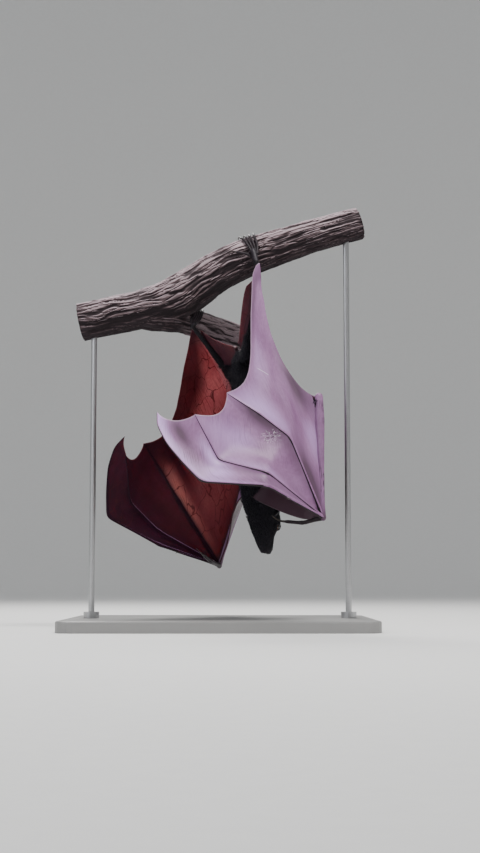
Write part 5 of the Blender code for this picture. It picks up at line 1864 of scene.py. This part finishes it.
def branch_piece(name, axis, radii, rings, sides, corner, seed, painted_light, finishes):
    """A length of branch with furrowed bark and sawn ends; the argument after seed is how much pale light is
    painted on it.
    """
    frames = ring_frames(rounded(axis, rings, corner))
    centres, side, over = (np.array([tuple(frame[k]) for frame in frames]) for k in range(3))
    distance = np.concatenate([[0], np.cumsum(np.linalg.norm(np.diff(centres, axis=0), axis=1))])
    radius = read(radii, np.linspace(0, 1, rings)) + BARK_OVER
    turn = np.linspace(0, 2 * np.pi, sides, endpoint=False)
    grid_turn, grid_distance = np.meshgrid(turn, distance)
    grid_radius = np.repeat(radius[:, None], sides, 1)
    depth, ridge = bark_relief(grid_turn, grid_distance, grid_radius, seed)
    reach_out = grid_radius - depth
    direction = np.cos(grid_turn)[..., None] * side[:, None] + np.sin(grid_turn)[..., None] * over[:, None]
    points = (centres[:, None] + direction * reach_out[..., None]).reshape(-1, 3)
    lie = np.stack([grid_turn * 0.03, grid_distance, np.zeros_like(grid_turn)], -1).reshape(-1, 3)
    faces = [f[::-1] for f in band(rings, sides)]
    finish = [0] * len(faces)
    points, lie, ridge = list(points), list(lie), list(ridge.ravel())
    for end, order in ((0, 1), (rings - 1, -1)):
        first = end * sides
        before = [first + k for k in range(sides)]
        for step in range(1, CUT_RINGS):
            shrink = 1 - step / CUT_RINGS
            now = [len(points) + k for k in range(sides)]
            for k in range(sides):
                points.append(centres[end] + (np.array(points[first + k]) - centres[end]) * shrink)
                lie.append(np.array([np.cos(turn[k]) * 0.004, np.sin(turn[k]) * 0.004, shrink * radius[end]]))
                faces.append((before[k], before[(k + 1) % sides], now[(k + 1) % sides], now[k])[::order])
            ridge += [1.0] * sides
            finish += [0 if step == 1 else 1] * sides
            before = now
        points.append(centres[end])
        lie.append(np.zeros(3))
        ridge.append(1.0)
        faces += [(before[k], before[(k + 1) % sides], len(points) - 1)[::order] for k in range(sides)]
        finish += [1] * sides
    piece = mesh_object(name, points, faces, finishes, finish)
    piece.data.set_sharp_from_angle(angle=math.radians(55))
    write_value(piece.data, "lie", np.array(lie))
    write_value(piece.data, "ridge", np.array(ridge))
    # Pale painted light, growing in along the side branch past its root.
    write_value(piece.data, "painted_light", np.clip((np.array(lie)[:, 1] - 0.075) / 0.04, 0, 1) * painted_light)
    return piece


def build_branch(*finishes):
    main = branch_piece("branch", PERCH_AXIS, PERCH_RADII, 330, 240, 0.08, 21, 0.0, finishes)
    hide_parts("perch_branch")
    spur_axis = [*COLLAR_AXIS, *SPUR_AXIS]
    # The side branch gets pale painted light.
    spur = branch_piece("side_branch", spur_axis, COLLAR_RADII, 170, 170, 0.2, 31, 0.45, finishes)
    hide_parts("perch_spur")
    return [main, spur]


# ---------------------------------------------------------------- stand and surroundings
def finish_stand(paint, steel):
    """The stand's solids have their true shape, so they only get their finishes."""
    for name, obj in frame["nodes"].items():
        if name.startswith("stand_"):
            obj.data.materials.clear()
            obj.data.materials.append(paint if name == "stand_base" else steel)


# The floor: flat out to one radius, then a round sweep of another, then a wall up to a height.
FLAT_RADIUS, SWEEP, WALL_TOP = 5.0, 2.0, 6.5


def build_floor():
    """A pale floor that sweeps up far away on every side of the object."""
    profile = [(0.02, 0.0), (2.0, 0.0), (FLAT_RADIUS, 0.0)]
    for k in range(1, 13):
        a = math.pi / 2 * k / 12
        profile.append((FLAT_RADIUS + SWEEP * math.sin(a), SWEEP * (1 - math.cos(a))))
    profile += [(FLAT_RADIUS + SWEEP, 4.0), (FLAT_RADIUS + SWEEP, WALL_TOP)]
    sides = 72
    points = [(r * math.cos(a), r * math.sin(a), z) for r, z in profile for a in circle(sides)]
    faces = [tuple(range(sides))] + band(len(profile), sides)
    look = Finish("floor", Roughness=0.9)
    speckle = look.noise(look.object_place(), 60.0, Detail=3.0)
    look.colour = look.blend(speckle, (0.86, 0.86, 0.845), (0.91, 0.91, 0.895))
    mesh_object("floor", points, faces, [look.done()])


def area_light(name, place, size, power, colour):
    data = bpy.data.lights.new(name, "AREA")
    data.shape = "DISK"
    data.size = size
    data.energy = power
    data.color = colour
    light = placed(name, data)
    light.location = place
    light.rotation_euler = (LIGHTS_AIM - Vector(place)).to_track_quat("-Z", "Y").to_euler()


LIGHTS_AIM = Vector((0.03, -0.02, 0.40))
SKY_COLOUR, SKY_STRENGTH = (0.88, 0.90, 0.95, 1), 0.42


def build_lights():
    area_light("key", (0.5, -0.9, 2.5), 0.8, 66.0, (1.0, 0.985, 0.97))
    area_light("fill", (-1.9, -1.9, 1.2), 1.2, 15.0, (0.88, 0.92, 1.0))
    area_light("back", (-0.5, 1.6, 2.0), 1.0, 46.0, (1.0, 0.98, 0.96))
    world = bpy.data.worlds.new("studio")
    world.use_nodes = True
    background = world.node_tree.nodes["Background"]
    background.inputs[0].default_value = SKY_COLOUR
    background.inputs[1].default_value = SKY_STRENGTH
    bpy.context.scene.world = world


CAMERA_PLACE, CAMERA_TILT, LENS, SENSOR = (0.033, -2.4, 0.08275), 96, 61.03, 36.0


def build_camera():
    """A camera that looks slightly up at the bat from just above the floor."""
    data = bpy.data.cameras.new("camera")
    data.lens = LENS
    data.sensor_width = SENSOR
    camera = placed("camera", data)
    camera.location = CAMERA_PLACE
    camera.rotation_euler = (math.radians(CAMERA_TILT), 0, 0)
    bpy.context.scene.camera = camera


# ---------------------------------------------------------------- assembly
LIMB_PARTS = (
    "ear", "upper_arm", "forearm", "finger_3", "finger_4", "finger_5", "index", "thumb", "web_2_3", "web_3_4",
    "web_4_5", "web_outer", "web_inner", "web_front", "tail_web", "thigh", "shin", "foot",
)
FLESH = ["trunk", "neck", "head"] + [f"{part}_{side}" for side in SIDES for part in LIMB_PARTS]


def main():
    for group in (group_uneven_tone, group_fine_wrinkles, group_muscle_streaks, group_crease_star):
        group()
    skin = Skin()
    joints = {side: build_wing_skin(skin, side) for side in SIDES}
    build_feet_skin(skin)
    build_ears(skin)
    body, axes = build_body_skin(skin, joints)
    bat = skin.made("bat_skin", [wing_outside_finish(), wing_inside_finish(), hide_finish(), limb_finish()])
    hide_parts(*FLESH)
    coat = build_coat(body, axes, coat_finish())
    eyes = build_eyes(eye_finish())
    claws = build_claws(joints, claw_finish())
    branch = build_branch(bark_finish(), cut_wood_finish())
    for piece in [bat, claws, *coat, *eyes, *branch]:
        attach(piece, "root")
    finish_stand(paint_finish(), steel_finish())
    build_floor()
    build_lights()
    build_camera()
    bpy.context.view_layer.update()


main()
